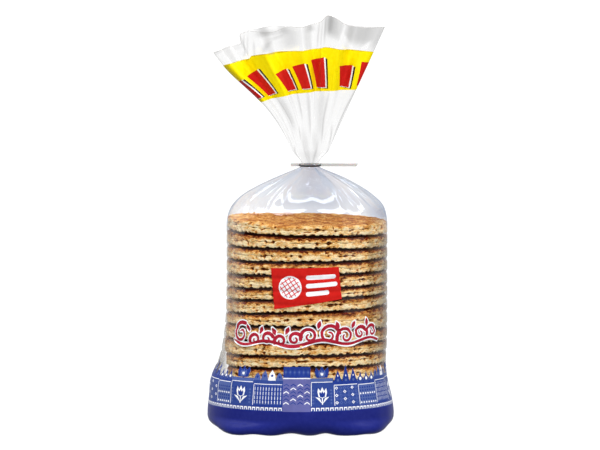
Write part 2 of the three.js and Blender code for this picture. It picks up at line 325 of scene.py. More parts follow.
def fan_point(theta, rise):
    """Points of the fan; rise is 0 at the neck and 1 at the mouth."""
    across = mix((1.0 + np.cos(theta)) / 2.0, 1.0 - np.abs(theta) / np.pi, smooth(rise, 0.0, 0.35))
    front = theta < 0.0
    lean = np.radians(mix(mix(*FAN_LEAN[0], across), mix(*FAN_LEAN[1], across), smooth(rise, 0.1, 0.9)))
    tips = sum(up * bell(across, at, np.where(across < at, left, right)) for at, left, right, up in FAN_TIPS)
    tips = tips - np.where(front, 3.6 * bell(across, 0.36, 0.07), 0.0)
    reach = FAN_LENGTH * rise + tips * rise**8
    flare = 1.0 + mix(*NECK_FLARE, across) * smooth(rise, 0.0, 0.1)
    x = NECK_X + NECK_HALF[0] * flare * (2.0 * across - 1.0) + reach * np.sin(lean)
    round_end = np.sqrt(1.0 - np.minimum(1.0, np.abs(2.0 * across - 1.0)) ** 6)
    mouth = (3.4 + 1.6 * np.sin(7.0 * across + 1.0)) * round_end * np.sign(theta)
    half = mix(NECK_HALF[1] * np.sin(theta), mouth, smooth(rise, 0.0, 0.55))
    turn = 8.0 * np.pi * (across - 0.2) + np.pi
    fold = 7.5 * rise**1.3 * np.sin(turn + 0.6 * np.sin(turn)) * np.sqrt(round_end)
    pleated = 0.45 * pleat(theta) * smooth(rise, 0.0, 0.08) * (1.0 - smooth(rise, 0.3, 0.9))
    fine = (pleated + fan_creases(across, rise, front)) * round_end
    return np.stack([x, fold + half + fine, NECK_TOP + reach * np.cos(lean)], axis=-1)


mouth_points = fan_point(np.linspace(-np.pi, 0.0, 50), 1.0)
print(f"the mouth's front runs from x {mouth_points[:, 0].min():.0f} to {mouth_points[:, 0].max():.0f} mm")

# %% [markdown]
# Ink lies on the film, so it needs the same surface moved out by a hair. A shrinkwrap modifier could press
# flat print onto the film, but it pulls print into the creases. Here each point moves out square to both
# ways of travel along the surface, which a small step each way gives.


# %% Points on the film and just off it
def off_film(point, theta, along, out, step):
    """A film point moved out by some millimetres, square to the film."""
    round_way = point(theta + 0.004, along) - point(theta - 0.004, along)
    up_way = point(theta, along + step) - point(theta, along - step)
    square = np.cross(round_way, up_way)
    square /= np.linalg.norm(square, axis=-1, keepdims=True) + 1e-9
    return point(theta, along) + square * np.asarray(out)[..., None]


def on_wall(around, z, out):
    """Around is in mm from the front's middle, to the right, at the wall's radius."""
    theta = np.asarray(around, float) / WALL_RADIUS - np.pi / 2.0
    theta = (theta + np.pi) % (2.0 * np.pi) - np.pi
    return off_film(wall_point, theta, np.asarray(z, float), np.broadcast_to(out, theta.shape), 0.3)


def on_fan(across, reach, out, back=False):
    """Across is 0 to 1 over the fan's front, reach is in mm from the tie."""
    theta = (1.0 - np.asarray(across, float)) * np.pi * (1.0 if back else -1.0)
    rise = np.asarray(reach, float) / FAN_LENGTH
    return off_film(fan_point, theta, rise, np.broadcast_to(out, theta.shape), 0.004)


print("front's middle, 1 mm off the film at 80 mm:", on_wall([0.0], [80.0], 1.0)[0].round(1))


# %% Make a mesh object
def piece(name, points, faces, material, slot):
    """A smooth mesh from points in mm, riding on the part's one body."""
    mesh = bpy.data.meshes.new(name)
    mesh.from_pydata((np.asarray(points) * MM).tolist(), [], faces)
    mesh.validate()
    mesh.polygons.foreach_set("use_smooth", [True] * len(mesh.polygons))
    mesh.materials.append(material)
    obj = bpy.data.objects.new(name, mesh)
    bpy.context.scene.collection.objects.link(obj)
    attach(obj, "root")
    return obj


def ring_faces(rings, sectors, first=0):
    """Four-sided faces between closed rings of points that follow each other."""
    faces = []
    for i in range(rings - 1):
        low, high = first + i * sectors, first + (i + 1) * sectors
        for j in range(sectors):
            k = (j + 1) % sectors
            faces.append((low + j, low + k, high + k, high + j))
    return faces


def add_value(obj, name, values):
    """A number for each point of the mesh, which a material can read."""
    layer = obj.data.attributes.new(name, "FLOAT", "POINT")
    layer.data.foreach_set("value", np.asarray(values, float).ravel())


print("two rings of four points make", len(ring_faces(2, 4)), "faces")

# %% [markdown]
# ## Materials
# One function adds a shader node, sets its sockets and links them. A link is written as a pair: the node it
# comes from and the name of its output. Another works out a noise texture's scale from the size of real
# grain.


# %% Node helper
def node(mat, kind, settings=None, stops=None, **sockets):
    """Adds a node. Sockets take numbers, colours or (node, output) pairs; i0 and i1 are sockets by place."""
    made = mat.node_tree.nodes.new(kind)
    for key, value in (settings or {}).items():
        setattr(made, key, value)
    if stops:
        elements = made.color_ramp.elements
        elements.remove(elements[1])
        elements[0].position, elements[0].color = stops[0][0], linear(stops[0][1])
        for place, colour in stops[1:]:
            elements.new(place).color = linear(colour)
    for key, value in sockets.items():
        by_place = key[0] == "i" and key[1:].isdigit()
        socket = made.inputs[int(key[1:]) if by_place else key.replace("_", " ")]
        if isinstance(value, tuple) and isinstance(value[0], bpy.types.Node):
            mat.node_tree.links.new(value[0].outputs[value[1]], socket)
        else:
            socket.default_value = value
    return made


def grain_scale(size_mm):
    """The scale that gives a noise texture this size of grain, as its places are in metres."""
    return 1.0 / (size_mm * MM)


def new_material(name):
    mat = bpy.data.materials.new(name)
    mat.use_nodes = True
    mat.node_tree.nodes.clear()
    return mat


print(f"grain of 2 mm needs a scale of {grain_scale(2.0):.0f}")

# %% [markdown]
# The bag is biaxially stretched polypropylene (BOPP), a clear film about 0.04 mm thick with a refractive
# index of 1.49. A glass shader would bend light as a thick block does, and this film is too thin for that.
# So it is a mix of a see-through shader and a mirror-like one. The mirror share starts from what the index
# gives and rises towards grazing angles. It is the same from inside the bag and from outside, which Blender's
# Fresnel node isn't. A little haze stands for the fine scuffs that make old film look milky, and its warm tan
# colour is painted light that stands for the light coming off the waffles. Three values on the mesh drive it:
# haze, shade, and cool, which turns the shade bluish. Part of the shade is painted shade, and negative shade
# paints white glints.

# %% How much film mirrors
FILM_IOR = 1.49
FILM_MIRROR = 2.0 * ((FILM_IOR - 1.0) / (FILM_IOR + 1.0)) ** 2  # two skins of the film mirror at once
print(f"film mirrors {FILM_MIRROR:.3f} of the light that meets it squarely")


# %% Clear film
def stretched_polypropylene_film():
    mat = new_material("stretched_polypropylene_film")
    place = node(mat, "ShaderNodeTexCoord")
    haze = node(mat, "ShaderNodeAttribute", {"attribute_name": "haze"})
    shade = node(mat, "ShaderNodeAttribute", {"attribute_name": "shade"})
    cool = node(mat, "ShaderNodeAttribute", {"attribute_name": "cool"})
    scuffs = node(mat, "ShaderNodeTexNoise", Vector=(place, "Object"), Scale=grain_scale(7.0), Detail=4.0)
    uneven = node(
        mat, "ShaderNodeMapRange", Value=(scuffs, "Fac"), From_Min=0.3, From_Max=0.7, To_Min=0.8, To_Max=1.2,
    )  # fmt: skip
    milky = node(mat, "ShaderNodeMath", {"operation": "MULTIPLY"}, i0=(haze, "Fac"), i1=(uneven, "Result"))
    ripple = node(mat, "ShaderNodeTexNoise", Vector=(place, "Object"), Scale=grain_scale(18.0), Detail=2.0)
    bump = node(mat, "ShaderNodeBump", Height=(ripple, "Fac"), Strength=0.12, Distance=0.001)
    plain = node(mat, "ShaderNodeValToRGB", stops=[(0.0, "#FFFFFF"), (1.0, "#B4B4B4")], Fac=(shade, "Fac"))
    bluish = node(mat, "ShaderNodeValToRGB", stops=[(0.0, "#FFFFFF"), (1.0, "#A8B3CB")], Fac=(shade, "Fac"))
    layers = node(
        mat, "ShaderNodeMix", {"data_type": "RGBA"}, i0=(cool, "Fac"), i6=(plain, "Color"),
        i7=(bluish, "Color"),
    )  # fmt: skip
    clear = node(mat, "ShaderNodeBsdfTransparent", Color=(layers, "Result"))
    # The veil's tan colour is painted warm light, standing for the light that comes off the waffles.
    veil = node(mat, "ShaderNodeBsdfDiffuse", Color=linear("#A07A48"), Normal=(bump, "Normal"))
    sheet = node(mat, "ShaderNodeMixShader", Fac=(milky, "Value"), i1=(clear, "BSDF"), i2=(veil, "BSDF"))
    tint = node(mat, "ShaderNodeValToRGB", stops=[(0.0, "#F8F5F0"), (1.0, "#E8F1FF")], Fac=(cool, "Fac"))
    shine = node(
        mat, "ShaderNodeBsdfAnisotropic", Color=(tint, "Color"), Roughness=0.09, Normal=(bump, "Normal"),
    )  # fmt: skip
    facing = node(mat, "ShaderNodeLayerWeight", Blend=0.5, Normal=(bump, "Normal"))
    grazing = node(mat, "ShaderNodeMath", {"operation": "POWER"}, i0=(facing, "Facing"), i1=5.0)
    mirror = node(mat, "ShaderNodeMapRange", Value=(grazing, "Value"), To_Min=FILM_MIRROR, To_Max=1.0)
    film = node(mat, "ShaderNodeMixShader", Fac=(mirror, "Result"), i1=(sheet, "Shader"), i2=(shine, "BSDF"))
    node(mat, "ShaderNodeOutputMaterial", Surface=(film, "Shader"))
    return mat


FILM = stretched_polypropylene_film()
print(FILM.name, "has", len(FILM.node_tree.nodes), "nodes")

# %% [markdown]
# ## The bag of film
# The film is one sheet: rings of points from the middle of the base up to the open mouth. The rings are
# about a millimetre apart, which is fine enough for the creases, and the mouth stays open as on the real
# bag. A solidify modifier could give it thickness, but 0.04 mm can't be seen except at the cut edge.

# %% Heights of the rings
SECTORS = 360
FAN_RINGS = 76
angles = -np.pi + 2.0 * np.pi * np.arange(SECTORS) / SECTORS
foot_heights = np.concatenate([[0.4, 0.9, 1.6, 2.5, 3.5, 4.7, 6.0, 7.5], np.arange(9.0, 36.0, 1.2)])
wall_heights = np.arange(36.4, DOME_START, PITCH / 8.0)
dome_heights = DOME_START + (DOME_END - DOME_START) * np.sin(np.pi / 2.0 * np.linspace(0.0, 1.0, 46))
rises = np.concatenate([[0.0, 0.006, 0.012, 0.02], np.linspace(0.03, 1.0, FAN_RINGS)])
to_neck = len(foot_heights) + len(wall_heights) + len(dome_heights)
print(to_neck, "rings up to the neck and", len(rises), "in the fan")


# %% Film mesh
def base_rings():
    """The film under the stack: rings that shrink from the lower edge to a flat middle."""
    edge = wall_point(angles, np.zeros(SECTORS))
    shares = (0.04, 0.3, 0.55, 0.7, 0.8, 0.9, 0.96)
    return [edge * [FOOT_EDGE * share, FOOT_EDGE * share, smooth(share, 0.55, 1.0)] for share in shares]


rings = base_rings() + [wall_point(angles, np.zeros(SECTORS)) * [FOOT_EDGE, FOOT_EDGE, 1.0]]
rings += [wall_point(angles, np.full(SECTORS, z)) for z in (*foot_heights, *wall_heights, *dome_heights)]
rings += [fan_point(angles, np.full(SECTORS, rise)) for rise in rises]
film_points = np.concatenate(rings)
film_faces = ring_faces(len(rings), SECTORS)
film_bag = piece("film_bag", film_points, film_faces, FILM, "clear_film")
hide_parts("bag")
print("film:", len(rings), "rings,", 2 * len(film_faces), "triangles")

# %% [markdown]
# Three numbers on each point say how the film looks there. They could be painted by hand as vertex colours,
# and a formula repeats better. Haze is milkiness, and the folded side panels have most of it, laid in upright
# streaks that also paint a soft sheen there. Shade is light lost on the way through: where film is bunched or
# folded over, several layers lie behind each other and the white beyond looks grey. Shade also holds painted
# shade: on fold flanks that turn edge-on to the front, over the right side of the stack, and at the dome's
# lower right and towards its right. Negative shade in the fan paints white glints. Cool says where that grey
# is bluish, as in the dome, where no warm waffle is behind it.

# %% Haze of the film
HAZE = {"front": 0.003, "left": 0.2, "right": 0.06, "dome": 0.003, "fan": 0.005, "neck": 0.01}
FRONT_PANEL, BACK_PANEL = (-149.0, -43.0), (40.0, 136.0)  # from fold to fold, in degrees
FOLD = 4.0  # how many degrees a fold is wide


def in_panel(degrees, panel):
    return smooth(degrees, panel[0], panel[0] + FOLD) * (1.0 - smooth(degrees, panel[1], panel[1] + FOLD))


def haze_at(points):
    x, y, z = points.T
    degrees = np.degrees(np.arctan2(y, x))
    # Upright streaks of milkiness on the side panels, which also paint a soft upright sheen there.
    milky_sheen_streaks = np.maximum(0.0, noise(degrees / 2.4, z / 40.0, 0.0, 25)) * smooth(z, 30.0, 60.0)
    side = np.where(x < 0.0, HAZE["left"], HAZE["right"]) * mix(0.15, 1.0, smooth(z, 34.0, 56.0))
    flat = np.maximum(in_panel(degrees, FRONT_PANEL), in_panel(degrees, BACK_PANEL))
    value = mix(side * (0.5 + 2.2 * milky_sheen_streaks), HAZE["front"], flat)
    value = mix(value, HAZE["dome"], smooth(z, DOME_START - 3.0, DOME_START + 5.0))
    value = mix(value, HAZE["fan"], smooth(z, NECK_TOP, NECK_TOP + 6.0))
    return value + (HAZE["neck"] - HAZE["dome"]) * bell(z, NECK_TOP - 5.0, 3.0)


film_haze = haze_at(film_points)
add_value(film_bag, "haze", film_haze)
print(f"haze from {film_haze.min():.3f} to {film_haze.max():.3f}")

# %% Where film lies doubled in the fan, with painted shade and glints
# Grey spots are partly film lying doubled and partly painted shade of folds and panels; a negative shade
# clears the grey and paints a white glint.
FAN_SHADE_AND_GLINT_SPOTS = [  # across and rise of the middle, slant, half width across, half length along the rise, and shade
    (0.225, 0.395, -0.14, 0.036, 0.14, 0.32), (0.204, 0.395, -0.14, 0.009, 0.12, 0.28),
    (0.402, 0.42, 0.04, 0.012, 0.10, 0.34), (0.512, 0.37, 0.07, 0.022, 0.15, 0.34),
    (0.675, 0.36, 0.0, 0.06, 0.18, 0.26), (0.725, 0.33, 0.12, 0.013, 0.17, 0.34),
    (0.895, 0.19, -0.29, 0.022, 0.09, 0.36), (0.980, 0.40, 0.05, 0.010, 0.22, 0.50),
    (0.338, 0.22, 0.0, 0.012, 0.05, 0.24), (0.44, 0.10, -0.4, 0.045, 0.13, 0.24),
    (0.60, 0.10, -0.3, 0.055, 0.13, 0.22), (0.008, 0.30, 0.0, 0.012, 0.30, 0.35),
    (0.992, 0.15, 0.0, 0.012, 0.15, 0.35), (0.555, 0.36, 0.19, 0.010, 0.16, -0.40),
    (0.13, 0.07, 1.0, 0.035, 0.05, 0.36), (0.95, 0.06, -1.0, 0.035, 0.05, 0.42),
    (0.5, 0.03, 0.0, 0.4, 0.05, 0.18), (0.40, 0.08, -0.3, 0.02, 0.08, 0.2),
    (0.62, 0.08, 0.2, 0.02, 0.08, 0.2), (0.172, 0.93, 0.53, 0.007, 0.05, 0.34),
    (0.194, 0.915, 0.41, 0.006, 0.06, 0.22), (0.224, 0.875, 0.3, 0.007, 0.055, 0.30),
    (0.30, 0.885, 0.76, 0.022, 0.042, 0.38), (0.375, 0.945, 0.0, 0.05, 0.012, 0.30),
    (0.463, 0.915, 0.0, 0.065, 0.085, 0.36), (0.592, 0.975, -0.2, 0.020, 0.026, 0.42),
    (0.638, 0.92, 0.05, 0.006, 0.09, 0.36), (0.657, 0.915, 0.03, 0.004, 0.085, 0.28),
    (0.677, 0.93, 0.0, 0.005, 0.08, 0.40), (0.702, 0.965, 0.0, 0.020, 0.06, 0.56),
    (0.735, 0.955, 0.0, 0.045, 0.065, 0.50), (0.90, 0.965, 0.0, 0.085, 0.085, 0.60),
    (0.822, 0.89, -0.6, 0.02, 0.04, -0.55), (0.938, 0.882, 0.3, 0.012, 0.034, -0.36),
    (0.787, 0.93, 0.1, 0.008, 0.07, -0.26), (0.98, 0.93, 0.0, 0.012, 0.08, 0.20),
    (0.03, 1.0, 0.5, 0.03, 0.014, 0.36), (0.13, 0.975, 0.0, 0.04, 0.02, 0.10),
]  # fmt: skip
# Painted shade on the inside of the back film, where it shows above the front's lower mouth.
BACK_FILM_PAINTED_SHADE = [  # the same for the back film, which shows where the front's mouth hangs lower
    (0.305, 0.985, 0.0, 0.035, 0.035, 0.55), (0.335, 0.955, 0.0, 0.05, 0.02, 0.40),
    (0.425, 0.975, 0.0, 0.035, 0.03, 0.45),
]  # fmt: skip


def fan_shade_and_glints(theta, rise):
    """Shade of the fan, mostly in its front: where film lies doubled, painted shade of its folds and panels,
    and painted white glints where the total goes below nothing.
    """
    across = 1.0 - np.abs(theta) / np.pi
    total = 0.06 * np.maximum(0.0, noise(across * 9.0, rise * 2.0, np.sign(theta), 19))
    across = across + 0.012 * noise(rise * 5.0, across * 6.0, 0.0, 17)
    for spots, front, back in ((FAN_SHADE_AND_GLINT_SPOTS, 1.0, 0.2), (BACK_FILM_PAINTED_SHADE, 0.0, 1.0)):
        for at, up, slant, wide, long, shade in spots:
            spot = bell(across - slant * (rise - up), at, wide) * np.exp(-(((rise - up) / long) ** 4))
            total = total + np.where(theta < 0.0, front, back) * shade * spot
    return np.maximum(total, -0.1)


print(len(FAN_SHADE_AND_GLINT_SPOTS) + len(BACK_FILM_PAINTED_SHADE), "places where the fan's film is doubled or cleared")


# %% Shade of the film
def shade_below_neck(points):
    """Shade of the dome, grey under the neck where film is bunched, with painted shade at its lower right
    corner and towards its right; of the loose film at the foot's left, doubled there and also painted darker
    along the left edge; and painted shade over the right side of the stack.
    """
    x, y, z = points[..., 0], points[..., 1], points[..., 2]
    degrees = np.degrees(np.arctan2(y, x))
    up = dome_share(z)[0]
    under_neck = bell(x, 3.0, mix(34.0, 9.0, up)) * smooth(up, 0.1, 0.35)
    # Painted shade: a grey patch at the dome's lower right corner, and the dome greyer towards the right.
    corner = smooth(x, 30.0, 46.0) * bell(z, 129.0, 7.0)
    dome = 0.31 * under_neck + 0.42 * corner + 0.07 + 0.06 * smooth(x, -20.0, 30.0)
    # Loose film at the foot's left lies doubled, and this also paints shade along the left edge.
    loose = 0.55 * smooth(-x, 46.8, 50.0) * bell(z, 40.0, 17.0)
    right = smooth(degrees, FRONT_PANEL[1], FRONT_PANEL[1] + FOLD) * (1.0 - smooth(degrees, 0.0, 20.0))
    # Painted shade: the film over the right side of the stack is greyed, most towards its edge.
    painted_right_shade = right * (0.3 + 0.4 * smooth(degrees, -32.0, -12.0))
    beside_stack = smooth(z, 34.0, 50.0) * (1.0 - smooth(z, DOME_START - 8.0, DOME_START))
    return dome * smooth(z, DOME_START, DOME_START + 6.0) + loose + painted_right_shade * beside_stack


def shade_at(points):
    """Points come as rings by sectors, so that the steepness of the folds can be worked out."""
    z = points[..., 2]
    run, depth = np.abs(np.roll(points, -1, axis=1) - np.roll(points, 1, axis=1))[..., :2].transpose(2, 0, 1)
    # Painted shade: fold flanks that turn edge-on to the front are made greyer.
    fan = 0.22 * smooth(depth / (run + depth + 1e-6), 0.5, 0.98)
    fan[-len(rises) :] += fan_shade_and_glints(angles, rises[:, None])
    return mix(shade_below_neck(points), fan, smooth(z, NECK_TOP - 2.5, NECK_TOP + 0.5))


film_shade = shade_at(film_points.reshape(len(rings), SECTORS, 3))
add_value(film_bag, "shade", film_shade)
film_z = film_points[:, 2]
below_tie = 1.0 - smooth(film_z, NECK_TOP - 2.5, NECK_TOP + 0.5)
add_value(film_bag, "cool", smooth(film_z, DOME_START - 4.0, DOME_START + 4.0) * below_tie)
print(f"shade from {film_shade.min():.2f} to {film_shade.max():.2f}")

# %% [markdown]
# The open mouth was cut with a knife, and a cut edge catches light as a bright or dark line. A thin bead of
# the same film, a fifth of a millimetre thick, follows the last ring and gives that line in the render.
# That is thicker than the real edge, because a line of 0.04 mm would be lost between the render's pixels.

# %% Cut edge at the mouth
BEAD = 0.11
BEAD_SIDES = 6


def bead(name, path, radius, material, slot):
    """A thin closed tube along a ring of points."""
    ahead = np.roll(path, -1, axis=0) - np.roll(path, 1, axis=0)
    ahead /= np.linalg.norm(ahead, axis=1, keepdims=True)
    side = np.cross(ahead, [0.0, 0.0, 1.0])
    side /= np.linalg.norm(side, axis=1, keepdims=True)
    over = np.cross(side, ahead)
    turns = 2.0 * np.pi * np.arange(BEAD_SIDES) / BEAD_SIDES
    points = [path + radius * (np.cos(t) * side + np.sin(t) * over) for t in turns]
    count = len(path)
    faces = []
    for i in range(BEAD_SIDES):
        a, b = i * count, (i + 1) % BEAD_SIDES * count
        faces += [(a + j, a + (j + 1) % count, b + (j + 1) % count, b + j) for j in range(count)]
    return piece(name, np.concatenate(points), faces, material, slot)


film_edge = bead("film_cut_edge", rings[-1], BEAD, FILM, "clear_film")
# The shade greys the bead a little, as painted shade for the dark line a cut edge shows.
for value_name, value in (("haze", 0.05), ("shade", 0.15), ("cool", 0.0)):
    add_value(film_edge, value_name, np.full(len(film_edge.data.vertices), value))
print("cut edge:", len(film_edge.data.polygons), "faces")

# %% [markdown]
# ## The waffles
# A syrup waffle is a thin round wafer, baked in a hot iron with a fine lattice, slit while warm, spread
# with syrup and closed again. Then it is trimmed with a round cutter, so its faces are brown and its cut
# rim shows pale crumb with small holes. One waffle could be copied sixteen times, but every rim in a real
# stack differs, and the rims are what shows. A stack settles unevenly too: the waffles bend a little, and
# their rims lie at slightly different heights on the left and on the right.

# %% How the stack settles
SURFACES = [  # from the top down: height at the front's middle, and how much lower the left and right end lie
    (126.1, -2.2, 0.8), (119.6, -0.7, 1.7), (112.1, 0.8, 2.0), (104.3, 1.4, 0.8), (96.7, 2.9, 0.7),
    (88.9, 2.9, 0.4), (82.2, 3.5, -0.3), (74.4, 3.5, -1.1), (65.4, 1.1, 4.1), (56.4, 0.5, 2.5),
    (48.5, 2.3, 0.7), (41.3, 2.9, 0.7), (33.0, 2.4, 0.6), (25.0, 1.6, 0.4), (17.0, 0.8, 0.2),
    (8.7, 0.3, 0.1), (0.5, 0.0, 0.0),
]  # fmt: skip
WAFFLE_RADIUS = 47.9
FILM_ROOM = 0.38


def level(k, x, y):
    """Height of the surface above waffle k, counted from 0 at the top; the last one is under the stack."""
    height, left_drop, right_drop = SURFACES[k]
    left = np.clip(-x / WAFFLE_RADIUS, 0.0, 1.0) ** 1.6
    right = np.clip(x / WAFFLE_RADIUS, 0.0, 1.0) ** 1.6
    wave = 0.22 * noise(x / 26.0, y / 26.0, k * 3.7, 21) if 0 < k < WAFFLES else 0.0
    if k == WAFFLES:
        wave = 0.3 + foot_lift(np.arctan2(y, x)) * smooth(np.hypot(x, y), 22.0, 42.0)
    return height - left_drop * left - right_drop * right + wave


def film_radius(theta, z):
    z = np.asarray(z) - 2.4 * (1.0 - smooth(z, 6.0, 10.0))
    return mix(NECK_HALF[0], wall_radius(theta, np.maximum(z, 0.05)), dome_share(z)[1])


thickness = [above[0] - below[0] for above, below in zip(SURFACES, SURFACES[1:])]
print(f"waffles {min(thickness):.1f} to {max(thickness):.1f} mm thick at the front")

# %% [markdown]
# The iron's lattice is pressed about 0.75 mm deep, with ribs 3.5 mm apart. A bump texture could draw it,
# but at the rim the ribs end in small teeth that give the dark gaps between waffles their ragged edges, so
# it is in the mesh. The lattice of each face is turned by a chance angle.

# %% Lattice of the iron
RIB_PITCH = 3.5
RIB_DEPTH = 0.75
TOP_DEPTH = 0.4  # the top waffle's upper face is worn and lies flatter


def lattice(x, y, turn):
    """1 on a rib and 0 in the middle of a pocket."""
    u = x * np.cos(turn) + y * np.sin(turn)
    v = y * np.cos(turn) - x * np.sin(turn)
    to_rib = [np.abs((w / RIB_PITCH) % 1.0 - 0.5) * RIB_PITCH for w in (u, v)]
    return np.maximum(*[1.0 - smooth(d, 0.3, 1.1) for d in to_rib])


def face_relief(k, upper, turn, x, y):
    """How far a baked face lies off its level, its ribs and its roughness."""
    ribs = lattice(x, y, turn)
    rough = rough_noise(x / 2.2, y / 2.2, k, 41, 2)
    depth = TOP_DEPTH if upper and k == 0 else RIB_DEPTH
    return depth * (1.0 - ribs) - 0.10 * rough, ribs, rough


print("about", round(2 * WAFFLE_RADIUS / RIB_PITCH), "ribs across a waffle")

# %% [markdown]
# Each waffle is two closed halves with the syrup between them. A half is drawn as rings: out along the
# inside, up the cut rim, over the rounded edge and back along the baked face. Noise moves the rim's points
# in and out for crumb and holes. Where a bubble in the dough meets the cut, both halves draw back from the
# seam.

# %% Seam and faces of a half
HOLES = 34
LIFTED_WAFFLE = 7  # the halves of this one gape at the right
WIDE_WAFFLE = 8.6  # the waffles about here reach further into the loose film at the left


def seam_holes(k, theta):
    """How far the seam opens and draws back at each angle, in mm."""
    chance = np.random.default_rng(100 + k)
    opened, back = np.zeros_like(theta), np.zeros_like(theta)
    for _ in range(HOLES):
        at, width = chance.uniform(-180, 180), chance.uniform(0.4, 1.9)
        shape = bell(turned(np.degrees(theta), at), 0.0, width)
        opened = np.maximum(opened, shape * chance.uniform(0.2, 0.8))
        back = np.maximum(back, shape * chance.uniform(0.8, 2.2))
    cos, sin = np.cos(theta), np.sin(theta)
    opened = opened + 0.02 + 0.16 * np.maximum(0.0, noise(cos * 6.0, sin * 6.0, k * 2.9, 35))
    if k == LIFTED_WAFFLE:
        opened = opened + 0.5 * smooth(cos, 0.45, 0.95)
    return opened, back


def seam_and_face(k, upper, theta, radius):
    """Heights of the seam and of the baked face; waffles touch near the middle and part towards the rim."""
    cos, sin = np.cos(theta), np.sin(theta)
    x, y = radius * cos, radius * sin
    share = 0.5 + 0.07 * noise(cos * 2.5, sin * 2.5, k * 5.3, 31)
    share = share + 0.13 * noise(cos * 14.0, sin * 14.0, k * 5.3, 33)
    rest = 0.06 + 0.74 * smooth(np.hypot(x, y), 33.0, 46.0)
    top, bottom = level(k, x, y) - (rest if k else 0.0), level(k + 1, x, y) + rest
    return bottom + (top - bottom) * share, top if upper else bottom


def waffle_radius(k, theta):
    """A nearly round outline that stays inside the film."""
    wide = 1.4 * bell(k, WIDE_WAFFLE, 1.2)
    radius = WAFFLE_RADIUS - 0.15 + 0.25 * noise(np.cos(theta) * 2.0, np.sin(theta) * 2.0, k * 1.7, 51) + wide
    seam, _ = seam_and_face(k, True, theta, radius)
    return np.minimum(radius, film_radius(theta, seam) - FILM_ROOM)


some_angles = np.radians(np.arange(-180.0, 180.0, 5.0))
print(f"top waffle's radius from {waffle_radius(0, some_angles).min():.1f} mm")


# %% The cut rim
def cut_rim(k, upper, theta, radius, edge, rounding, rim_rows):
    """Radius, height and bake of each row up the cut rim, from the seam to the baked face."""
    cos, sin = np.cos(theta), np.sin(theta)
    opened, back = seam_holes(k, theta)
    start = seam_and_face(k, upper, theta, radius)[0] + (1.0 if upper else -1.0) * opened
    # The rim's upper edge is toasted, and darkened further as painted shade under the gap above it.
    scorch_and_gap_shade = 0.19 + 0.45 * np.maximum(0.0, noise(cos * 13.0, sin * 13.0, k, 83))
    rows = []
    for t in np.linspace(0.0, 1.0, rim_rows):
        z = start + (edge - start) * t
        bend = np.clip(1.0 - np.abs(edge - z) / (0.85 * rounding), 0.0, 1.0)
        inward = rounding * (1.0 - np.sqrt(1.0 - np.minimum(bend, 0.999) ** 2))
        inward = inward + back * (1.0 - smooth(t, 0.0, 0.28)) + 0.25 * (1.0 - smooth(t, 0.0, 0.2))
        x, y = radius * cos, radius * sin
        crumb = rough_noise(x / 1.5, y / 1.5, z / 1.1, 71 + k, 3)
        # Pores are pitted into the rim, and their insides are painted dark as shade.
        pores_and_their_shade = smooth(noise(x / 1.6, y / 1.6, z / 0.85, 91 + k), 0.5, 0.78)
        reach = radius - inward + 0.32 * crumb - 1.1 * pores_and_their_shade
        reach = np.minimum(reach, film_radius(theta, z) - FILM_ROOM + 0.1)
        streak = noise(cos * 14.0, sin * 14.0, z / 2.5, 81 + k)
        toast = 0.12 - 0.08 * t
        if upper:
            toast = 0.14 + (0.32 * t + scorch_and_gap_shade * smooth(t, 0.62, 0.92) if k else 0.18 * t)
        # Painted shade where the rim draws back from the seam.
        hollow_shade = smooth(inward, 0.6, 1.8) * (1.0 - t)
        rows.append((reach, z, toast + 0.14 * streak + 0.6 * pores_and_their_shade + 0.7 * hollow_shade))
    return rows


trial_rim = cut_rim(1, True, some_angles, WAFFLE_RADIUS, SURFACES[1][0], 1.0, 5)
print("bake up a trial rim:", [round(float(bake.mean()), 2) for _, _, bake in trial_rim])


# %% Join the rows of a half
def close_half(rows, bake, upper):
    """Joins the rows of a half and closes it with a point in the middle of its first and last row."""
    sectors = len(rows[0])
    points = np.concatenate([*rows, [rows[0].mean(axis=0), rows[-1].mean(axis=0)]])
    faces = ring_faces(len(rows), sectors)
    last = (len(rows) - 1) * sectors
    for j in range(sectors):
        following = (j + 1) % sectors
        faces.append((len(points) - 2, following, j))
        faces.append((len(points) - 1, last + j, last + following))
    if not upper:
        faces = [face[::-1] for face in faces]
    return points, faces, np.concatenate([*bake, [0.5, 0.6]])


square = np.array([(1.0, 0.0, 0.0), (0.0, 1.0, 0.0), (-1.0, 0.0, 0.0), (0.0, -1.0, 0.0)])
_, closed_faces, _ = close_half([square, square + [0.0, 0.0, 1.0]], [np.zeros(4), np.zeros(4)], True)
print("two rows of four points close into", len(closed_faces), "faces")


